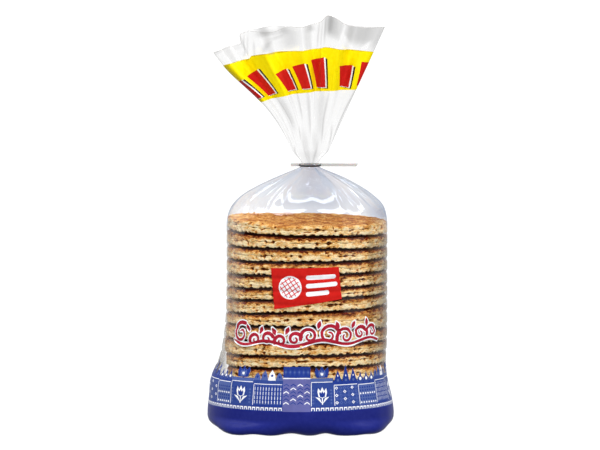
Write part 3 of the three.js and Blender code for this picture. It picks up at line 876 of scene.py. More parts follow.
# %% One half of a waffle
def half_waffle(k, upper, sectors, rim_rows, face_steps):
    """Points, faces and bake of one half; k counts from the top, and face_steps run in from the rim in mm."""
    turn = np.random.default_rng(200 + 2 * k + upper).uniform(0.2, 1.3)
    shift = np.random.default_rng(300 + k).uniform(-0.12, 0.12, 2)
    theta = -np.pi + 2.0 * np.pi * np.arange(sectors) / sectors
    cos, sin = np.cos(theta), np.sin(theta)
    sign = 1.0 if upper else -1.0

    def face_height(reach):
        relief, ribs, rough = face_relief(k, upper, turn, reach * cos, reach * sin)
        return seam_and_face(k, upper, theta, reach)[1] - sign * relief, ribs, rough

    radius = waffle_radius(k, theta)
    rows = []
    for inset in (34.0, 9.0, 2.6):
        rows.append((radius - inset, seam_and_face(k, upper, theta, radius - inset)[0] + sign * 0.36, 0.5))
    edge = face_height(radius - 0.6)[0] + 0.32 * rough_noise(cos * 26.0, sin * 26.0, 2 * k + upper, 63, 2)
    rounding = (1.6 if k == 0 else 1.0) if upper else 0.5
    rounding = rounding * (1.0 + 0.3 * noise(cos * 9.0, sin * 9.0, k, 61))
    rows += cut_rim(k, upper, theta, radius, edge, rounding, rim_rows)
    outer = radius - rounding
    for inset in face_steps:
        height, ribs, rough = face_height(outer - inset)
        patch = rough_noise(outer * cos / 11.0, outer * sin / 11.0, inset / 11.0 + k, 45, 2)
        crust = 0.425 + 0.04 * ribs + 0.04 * rough + 0.08 * patch - 0.12 * bell(inset, 0.0, 3.5)
        shows = upper and k == 0  # other faces lie in the dark between two waffles
        # Painted shade: faces between two waffles turn dark brown from about a millimetre in, for the shade
        # in the gaps.
        rows.append((outer - inset, height, crust if shows else mix(crust, 1.1, smooth(inset, 0.2, 1.2))))
    points = [np.stack([reach * cos + shift[0], reach * sin + shift[1], z], axis=-1) for reach, z, _ in rows]
    bake = [np.broadcast_to(value, theta.shape) for _, _, value in rows]
    return close_half(points, bake, upper)


sample_points, _, _ = half_waffle(0, True, 60, 5, (0.5, 8.0))
print("a coarse trial half has", len(sample_points), "points")

# %% [markdown]
# The crust is baked wheat dough: sugar and butter brown it from cream to a deep tan, and its surface scatters
# light a little below the skin. A picture of a waffle could be laid on it, but the browning has to follow the
# shape. So a value stored on each point, called bake, drives the colour, and noise about a millimetre wide
# adds the grain of the crumb. Bake also carries painted shade: very dark spots paint the shade inside holes,
# the faces between two waffles are painted dark for the shade in the gaps, and the rim's toasted upper edge
# is darkened further under each gap. The index of refraction is Blender's usual 1.5, and a sheen that fades
# with baking keeps the dark gaps dark.

# %% Baked wafer
# The darkest steps are painted shade: the gaps between waffles and the insides of holes.
CRUST = [  # bake and colour, from raw crumb to the dark of the gaps
    (0.0, "#FFEABC"), (0.16, "#FCD694"), (0.33, "#E6A954"), (0.48, "#C87D33"), (0.64, "#9C5422"),
    (0.8, "#5A240F"), (0.92, "#3E1206"), (1.0, "#7A2208"),
]  # fmt: skip
BAKE_SPREAD = 0.19


def baked_wafer_crumb():
    mat = new_material("baked_wafer_crumb")
    place = node(mat, "ShaderNodeTexCoord")
    flat = node(mat, "ShaderNodeMapping", Vector=(place, "Object"), Scale=(1.0, 1.0, 1.9))
    bake = node(mat, "ShaderNodeAttribute", {"attribute_name": "bake"})
    grain = node(
        mat, "ShaderNodeTexNoise", Vector=(flat, "Vector"), Scale=grain_scale(1.1), Detail=3.0, Roughness=0.6,
    )  # fmt: skip
    cloud = node(mat, "ShaderNodeTexNoise", Vector=(flat, "Vector"), Scale=grain_scale(4.3), Detail=2.0)
    total = bake
    for texture in (grain, cloud):
        spread = node(
            mat, "ShaderNodeMapRange", Value=(texture, "Fac"), From_Min=0.3, From_Max=0.7,
            To_Min=-BAKE_SPREAD, To_Max=BAKE_SPREAD,
        )  # fmt: skip
        so_far = (total, "Fac" if total is bake else "Value")
        total = node(mat, "ShaderNodeMath", {"operation": "ADD"}, i0=so_far, i1=(spread, "Result"))
    colour = node(mat, "ShaderNodeValToRGB", stops=CRUST, Fac=(total, "Value"))
    flour = node(mat, "ShaderNodeTexNoise", Vector=(flat, "Vector"), Scale=grain_scale(2.4), Detail=2.0)
    dusty = node(
        mat, "ShaderNodeMapRange", Value=(flour, "Fac"), From_Min=0.5, From_Max=0.68, To_Min=0.0, To_Max=0.55,
    )  # fmt: skip
    mixed = node(
        mat, "ShaderNodeMix", {"data_type": "RGBA", "blend_type": "MULTIPLY"}, i0=(dusty, "Result"),
        i6=(colour, "Color"), i7=linear("#CFC0A6"),
    )  # fmt: skip
    sheen = node(
        mat, "ShaderNodeMapRange", Value=(total, "Value"), From_Min=0.5, From_Max=0.9, To_Min=0.3,
        To_Max=0.02,
    )  # fmt: skip
    fine = node(mat, "ShaderNodeBump", Height=(grain, "Fac"), Strength=0.6, Distance=0.0005)
    wafer = node(
        mat, "ShaderNodeBsdfPrincipled", Base_Color=(mixed, "Result"), Roughness=0.68, Subsurface_Weight=0.06,
        Subsurface_Scale=0.0008, Specular_IOR_Level=(sheen, "Result"), Normal=(fine, "Normal"),
    )  # fmt: skip
    node(mat, "ShaderNodeOutputMaterial", Surface=(wafer, "BSDF"))
    return mat


CRUMB = baked_wafer_crumb()
print("crumb colour runs over", len(CRUST), "steps from cream to dark brown")

# %% Bake the sixteen waffles
EDGE_STEPS = (0.5, 1.2, 2.4, 6.0, 20.0)
TOP_STEPS = tuple(np.arange(0.55, 44.0, 0.62))
FINE_WAFFLES = 13  # the lowest three are behind the print of the foot and need fewer points
triangles = 0
for k in range(WAFFLES):
    sectors, rim_rows = (480, 13) if k < FINE_WAFFLES else (300, 7)
    upper = half_waffle(k, True, sectors, rim_rows, TOP_STEPS if k == 0 else EDGE_STEPS)
    lower = half_waffle(k, False, sectors, rim_rows, EDGE_STEPS)
    faces = upper[1] + [tuple(i + len(upper[0]) for i in face) for face in lower[1]]
    waffle = piece(f"waffle_{k + 1:02d}", np.concatenate([upper[0], lower[0]]), faces, CRUMB, "waffle")
    add_value(waffle, "bake", np.concatenate([upper[2], lower[2]]))
    triangles += sum(len(face) - 2 for face in faces)
print(WAFFLES, "waffles,", triangles, "triangles")

# %% [markdown]
# The filling is cooked sugar syrup with butter and cinnamon. It is spread thin and stops a little short of
# the rim, so only a dark amber line shows deep in the open seams. Syrup is glossy, with an index of
# refraction of 1.49, and it scatters light inside. Each layer is a thin lens: three rings and a point in
# the middle of each face, all in one mesh.


# %% Syrup
def cooked_sugar_syrup():
    mat = new_material("cooked_sugar_syrup")
    place = node(mat, "ShaderNodeTexCoord")
    swirl = node(mat, "ShaderNodeTexNoise", Vector=(place, "Object"), Scale=grain_scale(3.8), Detail=3.0)
    amber = node(mat, "ShaderNodeValToRGB", stops=[(0.3, "#5B2A0C"), (0.7, "#8F4A16")], Fac=(swirl, "Fac"))
    sugar = node(
        mat, "ShaderNodeBsdfPrincipled", Base_Color=(amber, "Color"), Roughness=0.22, IOR=1.49,
        Subsurface_Weight=0.3, Subsurface_Scale=0.001,
    )  # fmt: skip
    node(mat, "ShaderNodeOutputMaterial", Surface=(sugar, "BSDF"))
    return mat


SYRUP = cooked_sugar_syrup()
print(SYRUP.name, "has", len(SYRUP.node_tree.nodes), "nodes")

# %% Layers of syrup
SYRUP_SECTORS = 240
SYRUP_HALF = 0.3
SYRUP_EDGE = 0.7  # how far the flat faces end inside the layer's edge
around = -np.pi + 2.0 * np.pi * np.arange(SYRUP_SECTORS) / SYRUP_SECTORS
syrup_points, syrup_faces = [], []
for k in range(WAFFLES):
    reach = WAFFLE_RADIUS - 1.7 + 0.8 * noise(np.cos(around) * 4.0, np.sin(around) * 4.0, k * 2.1, 95)
    first = sum(len(p) for p in syrup_points)
    for inset, side in ((SYRUP_EDGE, -SYRUP_HALF), (0.0, 0.0), (SYRUP_EDGE, SYRUP_HALF)):
        x, y = (reach - inset) * np.cos(around), (reach - inset) * np.sin(around)
        syrup_points.append(np.stack([x, y, (level(k, x, y) + level(k + 1, x, y)) / 2.0 + side], axis=-1))
    centre_height = float(level(k, 0.0, 0.0) + level(k + 1, 0.0, 0.0)) / 2.0
    syrup_points.append(np.array([[0.0, 0.0, centre_height + side] for side in (-SYRUP_HALF, SYRUP_HALF)]))
    syrup_faces += ring_faces(3, SYRUP_SECTORS, first)
    low = first + 3 * SYRUP_SECTORS
    for j in range(SYRUP_SECTORS):
        following = (j + 1) % SYRUP_SECTORS
        syrup_faces.append((low, first + following, first + j))
        top_ring = first + 2 * SYRUP_SECTORS
        syrup_faces.append((low + 1, top_ring + j, top_ring + following))
piece("syrup_layers", np.concatenate(syrup_points), syrup_faces, SYRUP, "syrup")
print("syrup:", len(syrup_faces), "faces in", WAFFLES, "layers")

# %% [markdown]
# ## Printing
# The film is printed by flexography: a soft plate lays down one flat ink at a time, with white under the
# colours where they would look dull against what is behind them. A picture on the film would be quicker,
# but it blurs when seen close, and a printed edge is crisp. A design here is a list of flat outlines, later
# ones over earlier ones. Blender's constrained triangulation cuts them into one sheet of triangles without
# overlaps, and each ink's triangles are then laid on the film. So no two inks lie at the same place, and
# the print follows every crease.

# %% [markdown]
# Ink on film is a thin coloured varnish: glossy, though softer than the film, and a little mottled where
# the plate presses unevenly. One flat colour would do from afar, and the mottle gives a large area of ink
# some life. The mottle of a real plate is finer than these 2.4 mm, and it would be lost in the render.

# %% Flexographic inks
MOTTLE_SIZE = 2.4


def printed_ink(name, colour):
    mat = new_material(f"flexographic_ink_{name}")
    place = node(mat, "ShaderNodeTexCoord")
    mottle = node(
        mat, "ShaderNodeTexNoise", Vector=(place, "Object"), Scale=grain_scale(MOTTLE_SIZE), Detail=3.0,
    )  # fmt: skip
    density = node(mat, "ShaderNodeValToRGB", stops=[(0.25, colour), (0.75, colour)], Fac=(mottle, "Fac"))
    full, thin = density.color_ramp.elements
    channels = linear(colour)[:3]
    full.color = (*[c * 0.93 for c in channels], 1.0)
    thin.color = (*[min(1.0, c * 1.05 + 0.004) for c in channels], 1.0)
    gloss = node(
        mat, "ShaderNodeMapRange", Value=(mottle, "Fac"), From_Min=0.3, From_Max=0.7, To_Min=0.30,
        To_Max=0.42,
    )  # fmt: skip
    ink = node(
        mat, "ShaderNodeBsdfPrincipled", Base_Color=(density, "Color"), Roughness=(gloss, "Result"), IOR=1.49,
        Specular_IOR_Level=0.08,
    )  # fmt: skip
    node(mat, "ShaderNodeOutputMaterial", Surface=(ink, "BSDF"))
    return mat


INK_COLOURS = {
    "navy": ("#1E2678", "print_blue"),
    "cobalt": ("#243B8D", "print_blue"),
    "delft": ("#334990", "print_blue"),
    "sky": ("#4F629F", "print_blue"),
    "violet": ("#6567A2", "print_blue"),
    "white": ("#F6F7FA", "print_white"),
    "yellow": ("#FFE500", "print_yellow"),
    "red": ("#CC1F19", "print_red"),
    "crimson": ("#AC2235", "print_red"),
    "char": ("#2A1B22", "print_red"),
}
INKS = {name: (printed_ink(name, colour), slot) for name, (colour, slot) in INK_COLOURS.items()}
print(len(INKS), "inks")

# %% From outlines to ink on the film
INK_LIFT = 0.14  # real ink is a few thousandths of a millimetre thick, and this keeps it clear of the film
LABEL_LIFT = INK_LIFT + 0.02
UNDERLAY_LIFT = 0.06


def even_outline(loop, step):
    """The outline with no side longer than step, turning counter-clockwise."""
    points = []
    for a, b in zip(loop, loop[1:] + loop[:1]):
        parts = max(1, math.ceil(math.dist(a, b) / step))
        points += [(a[0] + (b[0] - a[0]) * i / parts, a[1] + (b[1] - a[1]) * i / parts) for i in range(parts)]
    area = sum(a[0] * b[1] - b[0] * a[1] for a, b in zip(points, points[1:] + points[:1]))
    return points if area > 0.0 else points[::-1]


def lay_print(name, shapes, to_film, step, underlay=None):
    """Shapes are (ink, outline) pairs, and to_film and underlay turn flat places in mm into film points."""
    flat, loops = [], []
    for _, loop in shapes:
        loop = even_outline(loop, step)
        loops.append(list(range(len(flat), len(flat) + len(loop))))
        flat += loop
    low, high = np.min(flat, axis=0), np.max(flat, axis=0)
    for row, v in enumerate(np.arange(low[1] + step / 2, high[1], step * 0.87)):
        flat += [(u, v) for u in np.arange(low[0] + step * (0.25 + 0.5 * (row % 2)), high[0], step)]
    verts, _, tris, _, _, origins = delaunay_2d_cdt([Vector(p) for p in flat], [], loops, 1, 1e-4)
    places = np.array([(v.x, v.y) for v in verts])
    top_ink = [shapes[max(origin)][0] if origin else None for origin in origins]
    layers = [(ink, ink, to_film, [tri for tri, top in zip(tris, top_ink) if top == ink]) for ink in INKS]
    if underlay:
        layers.append(("underlay", "white", underlay, [tri for tri, top in zip(tris, top_ink) if top]))
    for layer, ink, onto, printed in layers:
        if printed:
            used = sorted({i for tri in printed for i in tri})
            order = {old: new for new, old in enumerate(used)}
            faces = [tuple(order[i] for i in tri) for tri in printed]
            piece(f"{name}_{layer}", onto(places[used, 0], places[used, 1]), faces, *INKS[ink])
    print(f"{name}: {len(shapes)} outlines, {sum(1 for top in top_ink if top)} triangles")


print("ink stands", INK_LIFT, "mm off the film, with white at", UNDERLAY_LIFT, "mm")


# %% Outline helpers
def oblong(u0, v0, u1, v1):
    return [(u0, v0), (u1, v0), (u1, v1), (u0, v1)]


def disc(u, v, radius, sides=14):
    turns = [2.0 * math.pi * i / sides for i in range(sides)]
    return [(u + radius * math.cos(t), v + radius * math.sin(t)) for t in turns]


def diamond(u, v, wide, high):
    return [(u - wide / 2, v), (u, v - high / 2), (u + wide / 2, v), (u, v + high / 2)]


def crest(u, v, foot, waist, waist_height, tall):
    """A pointed crest on a base line, with the half width of its foot and of its waist."""
    right = [(u + foot, v), (u + waist, v + waist_height)]
    return [(u - foot, v), *right, (u, v + tall), (u - waist, v + waist_height)]


def middles(start, length, count):
    """The middles of a length's equal parts."""
    return [start + length * (i + 0.5) / count for i in range(count)]


def brush(path, widths):
    """Short four-sided patches along a path, as a pen of changing width leaves them, with round ends."""
    path, widths = np.asarray(path, float), np.asarray(widths, float)
    ahead = np.gradient(path, axis=0)
    ahead /= np.linalg.norm(ahead, axis=1, keepdims=True)
    side = np.stack([-ahead[:, 1], ahead[:, 0]], axis=1) * widths[:, None] / 2.0
    left, right = path + side, path - side
    patches = []
    for i in range(len(path) - 1):
        patches.append([tuple(right[i]), tuple(right[i + 1]), tuple(left[i + 1]), tuple(left[i])])
    return patches + [disc(*path[0], widths[0] / 2.0, 10), disc(*path[-1], widths[-1] / 2.0, 10)]


print("a stroke of three points is", len(brush([(0, 0), (1, 0), (2, 1)], [1, 1, 1])), "patches")

# %% [markdown]
# The foot of the bag is printed solid navy, with a border of blue and white tiles standing on it. The tiles
# are plain ornaments in the manner of old Dutch tin-glazed tiles: lattices, dots, chevrons and little
# tulips. The film is clear between their crests, so the lowest waffles show through. White lies under all
# of it, and it shows from behind, through the clear film.

# %% Solid navy foot
FOOT_INK_TOP = 15.5
printed_heights = [z for z in foot_heights if z < FOOT_INK_TOP - 0.3] + [FOOT_INK_TOP]
FOOT_LAYERS = (("navy", "navy", 0.12, INK_LIFT), ("underlay", "white", 0.2, UNDERLAY_LIFT))
for name, ink, above_base, lift in FOOT_LAYERS:
    foot_print = [ring + [0.0, 0.0, above_base] for ring in base_rings()]
    for z in printed_heights:
        foot_print.append(off_film(wall_point, angles, np.full(SECTORS, z), np.full(SECTORS, lift), 0.3))
    piece(f"foot_print_{name}", np.concatenate(foot_print), ring_faces(len(foot_print), SECTORS), *INKS[ink])
print("navy foot up to", FOOT_INK_TOP, "mm")


# %% Tiles with a frame: lattice and dots
def framed(u, w, top, field, edge):
    """A field with a thin white line down its left side and a darker band under its top."""
    return [
        (field, oblong(u, FOOT_INK_TOP, u + w, top)),
        (edge, oblong(u, top - 2.0, u + w, top)),
        ("white", oblong(u + 0.5, top - 2.5, u + w - 0.5, top - 2.1)),
        ("white", oblong(u + 0.3, FOOT_INK_TOP + 3.4, u + 0.65, top - 2.6)),
    ]


def tile_lattice(u, w, top):
    shapes = framed(u, w, top, "delft", "cobalt")
    columns = max(4, round(w / 2.8))
    for i, cu in enumerate(middles(u + 0.5, w - 0.8, columns)):
        for j, cv in enumerate(middles(FOOT_INK_TOP + 4.0, top - FOOT_INK_TOP - 7.0, 5)):
            ink = "white" if (i + 2 * j) % 4 == 0 else "sky"
            shapes.append((ink, diamond(cu, cv, w / columns * 0.8, 2.0)))
            shapes.append(("cobalt", diamond(cu, cv, w / columns * 0.36, 0.9)))
    for i, tall in enumerate((6.4, 9.6, 7.4)):
        cu = u + w * (0.18 + 0.32 * i)
        shapes.append(("cobalt", crest(cu, top, w * 0.15, 1.4, 0.45 * tall, tall)))
        shapes.append(("sky", disc(cu, top + 0.5, 0.8)))
        shapes.append(("white", diamond(cu, top + 3.2, 0.9, 1.5)))
    return shapes


def tile_dots(u, w, top):
    shapes = framed(u, w, top, "sky", "cobalt")
    for cu in middles(u + 0.7, w - 1.0, max(5, round(w / 2.1))):
        for j in range(6):
            ink = "white" if j % 3 == 0 else "cobalt"
            shapes.append((ink, disc(cu, FOOT_INK_TOP + 4.4 + 1.75 * j, 0.55, 8)))
    for cu in middles(u, w, 3):
        shapes.append(("delft", disc(cu, top + 0.4, w / 6.2, 16)))
        shapes.append(("cobalt", diamond(cu, top + w / 6.2 + 0.8, 1.5, 4.4)))
        shapes.append(("white", disc(cu, top + 1.2, w / 15.0, 12)))
    return shapes


print("lattice tile of 18 mm:", len(tile_lattice(0.0, 18.0, 32.0)), "outlines")


# %% Tiles with chevrons and stripes
def tile_chevrons(u, w, top):
    shapes = [("violet", oblong(u, FOOT_INK_TOP, u + w, top + 2.0))]
    shapes.append(("cobalt", oblong(u, top + 1.8, u + w, top + 8.4)))
    shapes.append(("white", oblong(u, top + 1.2, u + w, top + 1.8)))
    for cu in middles(u, w, 6):
        shapes.append(("delft", diamond(cu, top + 5.1, w / 7.5, 4.4)))
        shapes.append(("sky", diamond(cu, top + 5.1, w / 18.0, 1.6)))
    for j in range(6):
        v = FOOT_INK_TOP + 4.2 + 2.15 * j
        for i in range(4):
            a, b = u + w * i / 4 + 0.4, u + w * (i + 1) / 4 - 0.4
            under = [(a, v), ((a + b) / 2, v + 1.1), (b, v)]
            over = [(b, v + 0.65), ((a + b) / 2, v + 1.75), (a, v + 0.65)]
            shapes.append((("white", "delft", "cobalt")[(i + 2 * j) % 3], under + over))
    return shapes


def tile_stripes(u, w, top):
    shapes = framed(u, w, top, "cobalt", "delft")
    for cu in middles(u + 0.6, w - 0.9, max(5, round(w / 1.8))):
        shapes.append(("sky", oblong(cu - 0.55, FOOT_INK_TOP + 4.0, cu + 0.55, top - 3.0)))
        shapes.append(("white", oblong(cu - 0.13, FOOT_INK_TOP + 4.6, cu + 0.13, top - 3.6)))
    for j in range(4):
        v = FOOT_INK_TOP + 6.4 + 2.6 * j
        shapes.append(("cobalt", oblong(u + 0.9, v, u + w, v + 0.55)))
    wide = w / 8
    for cu, tall, ink in zip(middles(u, w, 4), (4.4, 5.8, 6.2, 4.8), ("sky", "sky", "white", "sky")):
        shapes.append((ink, crest(cu, top, wide, 0.7 * wide, 0.6 * tall, tall)))
        shapes.append(("cobalt", diamond(cu, top + 0.45 * tall, wide * 0.8, 1.8)))
    return shapes


print("chevron tile of 16 mm:", len(tile_chevrons(0.0, 16.0, 32.0)), "outlines")

# %% Tile with a tulip
CUP = [  # the flower's outline, in mm about the foot of the stem
    (-2.2, 4.6), (-2.9, 7.4), (-2.4, 9.8), (-1.1, 8.0), (0, 10.4), (1.1, 8.0), (2.4, 9.8), (2.9, 7.4),
    (2.2, 4.6), (0, 3.8),
]  # fmt: skip
CUP_MIDDLE = 4.7  # the height that the flower's dark heart is drawn about


def cup(u, v, wide, high, lowest=0.0):
    """The flower's cup, scaled, above the place of its stem's foot."""
    return [(u + a * wide, v + b * high) for a, b in CUP if b > lowest]


def tile_tulip(u, w, top):
    shapes = framed(u, w, top, "delft", "sky")
    mid, base = u + w / 2, FOOT_INK_TOP + 4.2
    for i in range(5):
        for side in (-1, 1):
            shapes.append(("sky", diamond(mid + side * w * 0.39, base + 0.8 + 1.9 * i, 1.5, 1.5)))
            shapes.append(("cobalt", diamond(mid + side * w * 0.24, base + 1.8 + 1.9 * i, 1.2, 1.2)))
    shapes.append(("white", oblong(mid - 0.3, base, mid + 0.3, base + 5.0)))
    for side in (-1, 1):
        leaf = [(mid, base + 0.4), (mid + side * w * 0.3, base + 4.6), (mid + side * w * 0.12, base + 4.0)]
        shapes.append(("white", leaf))
    shapes.append(("white", cup(mid, base, 1.0, 1.0)))
    heart = [(mid + a * 0.62, base + CUP_MIDDLE + (b - CUP_MIDDLE) * 0.6) for a, b in CUP]
    shapes.append(("cobalt", heart))
    shapes.append(("cobalt", cup(mid, top - 5.2, 1.5, 1.2, lowest=4.0)))
    shapes.append(("sky", cup(mid, top - 2.6, 0.75, 0.75)))
    shapes.append(("white", cup(mid, top + 0.4, 0.3, 0.3)))
    return shapes


print("tulip tile of 15 mm:", len(tile_tulip(0.0, 15.0, 33.0)), "outlines")

# %% Border of tiles round the bag
TILES = [tile_lattice, tile_stripes, tile_chevrons, tile_tulip, tile_dots]
OPEN_TILE = 2  # the chevrons have no white teeth at their foot
ROUND = 2.0 * math.pi * WALL_RADIUS
TILE_PLAN = [  # which tile, how wide and how high the field is, from the back seam round the left side
    (4, 15, 31.0), (0, 18, 32.0), (3, 13, 33.0), (1, 16, 31.5), (2, 14, 31.0), (0, 20, 32.5), (4, 12, 32.0),
    (3, 15, 33.0), (1, 18, 32.0), (2, 16, 32.0), (3, 14, 33.5), (0, 17, 31.5), (4, 15, 31.0), (1, 16, 32.5),
    (3, 13, 33.0), (2, 17, 31.5), (0, 18, 32.0), (4, 14, 31.5), (1, 17, 32.0), (3, 12, 33.0),
]  # fmt: skip


def toothed_foot(u, w):
    """A dark strip at the foot of a tile, with white teeth."""
    shapes = [("cobalt", oblong(u, FOOT_INK_TOP, u + w, FOOT_INK_TOP + 2.9))]
    teeth = max(4, round(w / 2.6))
    for i in range(teeth):
        left = u + w * (i + 0.12) / teeth
        right = left + w / teeth * 0.76
        shapes.append(("white", oblong(left, FOOT_INK_TOP + 0.5, right, FOOT_INK_TOP + 2.4)))
        shapes.append(("delft", oblong(left + 0.5, FOOT_INK_TOP + 0.5, right - 0.5, FOOT_INK_TOP + 1.7)))
    return shapes


border, start = [], -ROUND / 2
scale = ROUND / sum(share for _, share, _ in TILE_PLAN)
for kind, share, top in TILE_PLAN:
    width = share * scale
    to_back = float(smooth(abs(start + width / 2) / ROUND, 0.24, 0.34))
    border += TILES[kind](start, width, top + (1.8 - 9.0 * to_back))  # the border is lower round the back
    if kind != OPEN_TILE:
        border += toothed_foot(start, width)
    start += width
seam = ROUND / 2 - 0.01
border = [(ink, [(min(max(u, -seam), seam), v) for u, v in loop]) for ink, loop in border]
lay_print(
    "border", border, lambda u, v: on_wall(u, v, INK_LIFT), 1.4, lambda u, v: on_wall(u, v, UNDERLAY_LIFT)
)  # fmt: skip

# %% [markdown]
# The front carries a red label that leans a little, and below it a crimson scroll of vines with a white
# outline. Both are plain ornaments. The label shows a round waffle with its lattice and three short bars.

# %% Red label
LABEL = [(-22.2, 100.8), (19.3, 101.5), (21.3, 82.4), (-20.0, 76.3)]
SIGN, SIGN_RADIUS = (-10.2, 89.4), 7.0
SIGN_LEAN = 0.6  # of the lattice, in radians
BARS = [(15.6, 0.0, 2.5), (16.6, 4.9, 4.0), (11.6, 9.8, 5.5)]  # length, how much lower, and slope in degrees
label = [("red", LABEL), ("white", disc(*SIGN, SIGN_RADIUS, 40))]
for i in range(-2, 3):
    for lean in (SIGN_LEAN, SIGN_LEAN + math.pi / 2):
        along = np.array([math.cos(lean), math.sin(lean)])
        across = np.array([-math.sin(lean), math.cos(lean)])
        off = 2.35 * i
        half = math.sqrt((SIGN_RADIUS - 0.9) ** 2 - off**2)
        ends = [np.array(SIGN) + across * off + along * half * side for side in (-1, 1)]
        label.append(("red", brush(ends, [0.55, 0.55])[0]))
for length, drop, degrees in BARS:
    left = (0.6, 95.3 - drop)
    slope = math.radians(degrees)
    right = (left[0] + length * math.cos(slope), left[1] + length * math.sin(slope))
    label += [("white", patch) for patch in brush([left, right], [2.7, 2.7])]
lay_print("label", label, lambda u, v: on_wall(u, v, LABEL_LIFT), 1.2)

# %% Crimson scroll
CURLS = [  # middle, size, start angle, turns, direction
    (-44.5, 60.6, 7.2, 60, 1.15, 1), (-33.0, 57.6, 4.1, 200, 1.1, -1), (-24.6, 58.4, 4.2, 20, 1.1, 1),
    (-16.0, 57.4, 4.1, 200, 1.1, -1), (-7.4, 58.6, 4.3, 20, 1.1, 1), (1.4, 60.4, 5.6, 200, 1.2, -1),
    (13.2, 61.0, 6.9, 10, 1.2, 1), (24.0, 60.0, 6.2, 200, 1.15, -1), (34.4, 61.4, 4.7, 20, 1.1, 1),
    (44.6, 62.0, 4.9, 200, 1.1, -1),
]  # fmt: skip
LEAVES = [  # middle and lean in degrees
    (-38.6, 64.2, 120), (-28.8, 63.4, 70), (-20.2, 63.0, 115), (-11.8, 63.6, 65), (7.2, 67.2, 75),
    (18.6, 66.6, 110), (29.4, 66.6, 60), (39.7, 67.6, 95),
]  # fmt: skip
LEAF_HALF = 2.3
OUTLINE = 1.5  # how much wider the white is than the crimson


def curl(u, v, size, start, turns, direction):
    """A spiral that winds in, from a start angle in degrees."""
    steps = np.linspace(0.0, 1.0, max(10, int(18 * turns)))
    angle = math.radians(start) + direction * 2.0 * math.pi * turns * steps
    radius = size * (1.0 - 0.78 * steps**0.8)
    return np.stack([u + radius * np.cos(angle), v + radius * np.sin(angle)], axis=1), 2.3 - 1.3 * steps


strokes = [curl(*each) for each in CURLS]
stem_u = np.linspace(-51.0, 51.0, 70)
stem_v = 56.2 + 1.6 * np.sin(stem_u / 5.4) + 0.7 * np.sin(stem_u / 17.0)
strokes.append((np.stack([stem_u, stem_v], axis=1), 1.3 + 0.8 * np.sin(np.linspace(0.0, math.pi, 70))))
for u, v, lean in LEAVES:
    along = np.array([math.cos(math.radians(lean)), math.sin(math.radians(lean))])
    steps = np.linspace(-1.0, 1.0, 9)
    strokes.append((np.array([u, v]) + steps[:, None] * along * LEAF_HALF, 0.5 + 2.0 * (1.0 - steps**2)))
scroll = [("white", patch) for path, widths in strokes for patch in brush(path, widths + OUTLINE)]
scroll += [("crimson", patch) for path, widths in strokes for patch in brush(path, widths)]
lay_print("scroll", scroll, lambda u, v: on_wall(u, v, LABEL_LIFT), 1.4)

# %% [markdown]
# A yellow band runs round the fan, with groups of three slanting red bars that rise like steps. Each bar
# has a thin white line and a dark shade at its right, which lifts it off the yellow. Bars that would run
# over a side fold are cut there, as the film turns to the other side.

# %% Edges of the band
BAND_WIDTH = 75.0


def band_edges(s, side):
    """The band's lower and upper edge in mm from the tie; side is 1 for the front and -1 for the back."""
    across = side * s / BAND_WIDTH + 0.5
    top = 67.6 + np.where(across < 0.5, 5.8, 3.5) * (2.0 * across - 1.0) ** 2
    return 42.4 - 3.6 * across + 2.0 * across**2 + 7.0 * across**3, float(top)


def clip_to(loop, low, high):
    """The part of an outline between two upright lines."""
    for limit, keep in ((low, 1.0), (high, -1.0)):
        inside = []
        for a, b in zip(loop, loop[1:] + loop[:1]):
            in_a, in_b = (a[0] - limit) * keep >= 0.0, (b[0] - limit) * keep >= 0.0
            if in_a:
                inside.append(a)
            if in_a != in_b:
                t = (limit - a[0]) / (b[0] - a[0])
                inside.append((limit, a[1] + t * (b[1] - a[1])))
        loop = inside
        if not loop:
            return []
    return loop


middle_low, middle_high = band_edges(0.0, 1)
print(f"band from {middle_low:.1f} to {middle_high:.1f} mm above the tie at its middle")

# %% Yellow band of the fan
BAR_STEP = 11.2
BAR_INKS = (("char", 1.9), ("white", 0.9), ("red", 0.0))  # with how far each stands to the right


def band_design(groups, side):
    """The yellow band and its bars, cut at the side folds; groups are the places of their first bars."""
    half = BAND_WIDTH / 2 * 0.996
    edges = [(s, *band_edges(s, side)) for s in np.linspace(-half, half, 60)]
    shapes = [("yellow", [(s, low) for s, low, _ in edges] + [(s, high) for s, _, high in edges[::-1]])]
    for group in groups:
        for i in range(3):
            s, tall = group + BAR_STEP * i, 13.6 + 2.1 * i
            foot = band_edges(s + 4.0, side)[0] + 2.4
            bar = [(s + 2.6, foot), (s + 9.2, foot + 0.3), (s + 7.2, foot + tall), (s, foot + tall - 1.6)]
            for ink, right in BAR_INKS:
                shifts = (0.5 * right, right, right, 0.5 * right)
                shapes.append((ink, [(a + shift, b - 0.25 * right) for (a, b), shift in zip(bar, shifts)]))
    cut = [(ink, clip_to(loop, -half, half)) for ink, loop in shapes]
    return [(ink, loop) for ink, loop in cut if len(loop) > 2]


def on_fan_front(s, reach):
    return on_fan(s / BAND_WIDTH + 0.5, reach, INK_LIFT)


def on_fan_back(s, reach):
    return on_fan(0.5 - s / BAND_WIDTH, reach, INK_LIFT, back=True)


lay_print("band_front", band_design((-54.0, -16.0, 22.6), 1), on_fan_front, 0.9)
lay_print("band_back", band_design((-44.0, -6.0, 32.0), -1), on_fan_back, 0.9)

# %% [markdown]
# ## The tie
# The neck is held by a flat plastic strip with a wire twisted round it. Both keep the shape of the solids
# and only get their real finishes: a pale drawn polyethylene with fine lines along it, and black PVC over
# soft steel wire. Polyethylene lets a little light in, which softens its edges, and PVC doesn't.


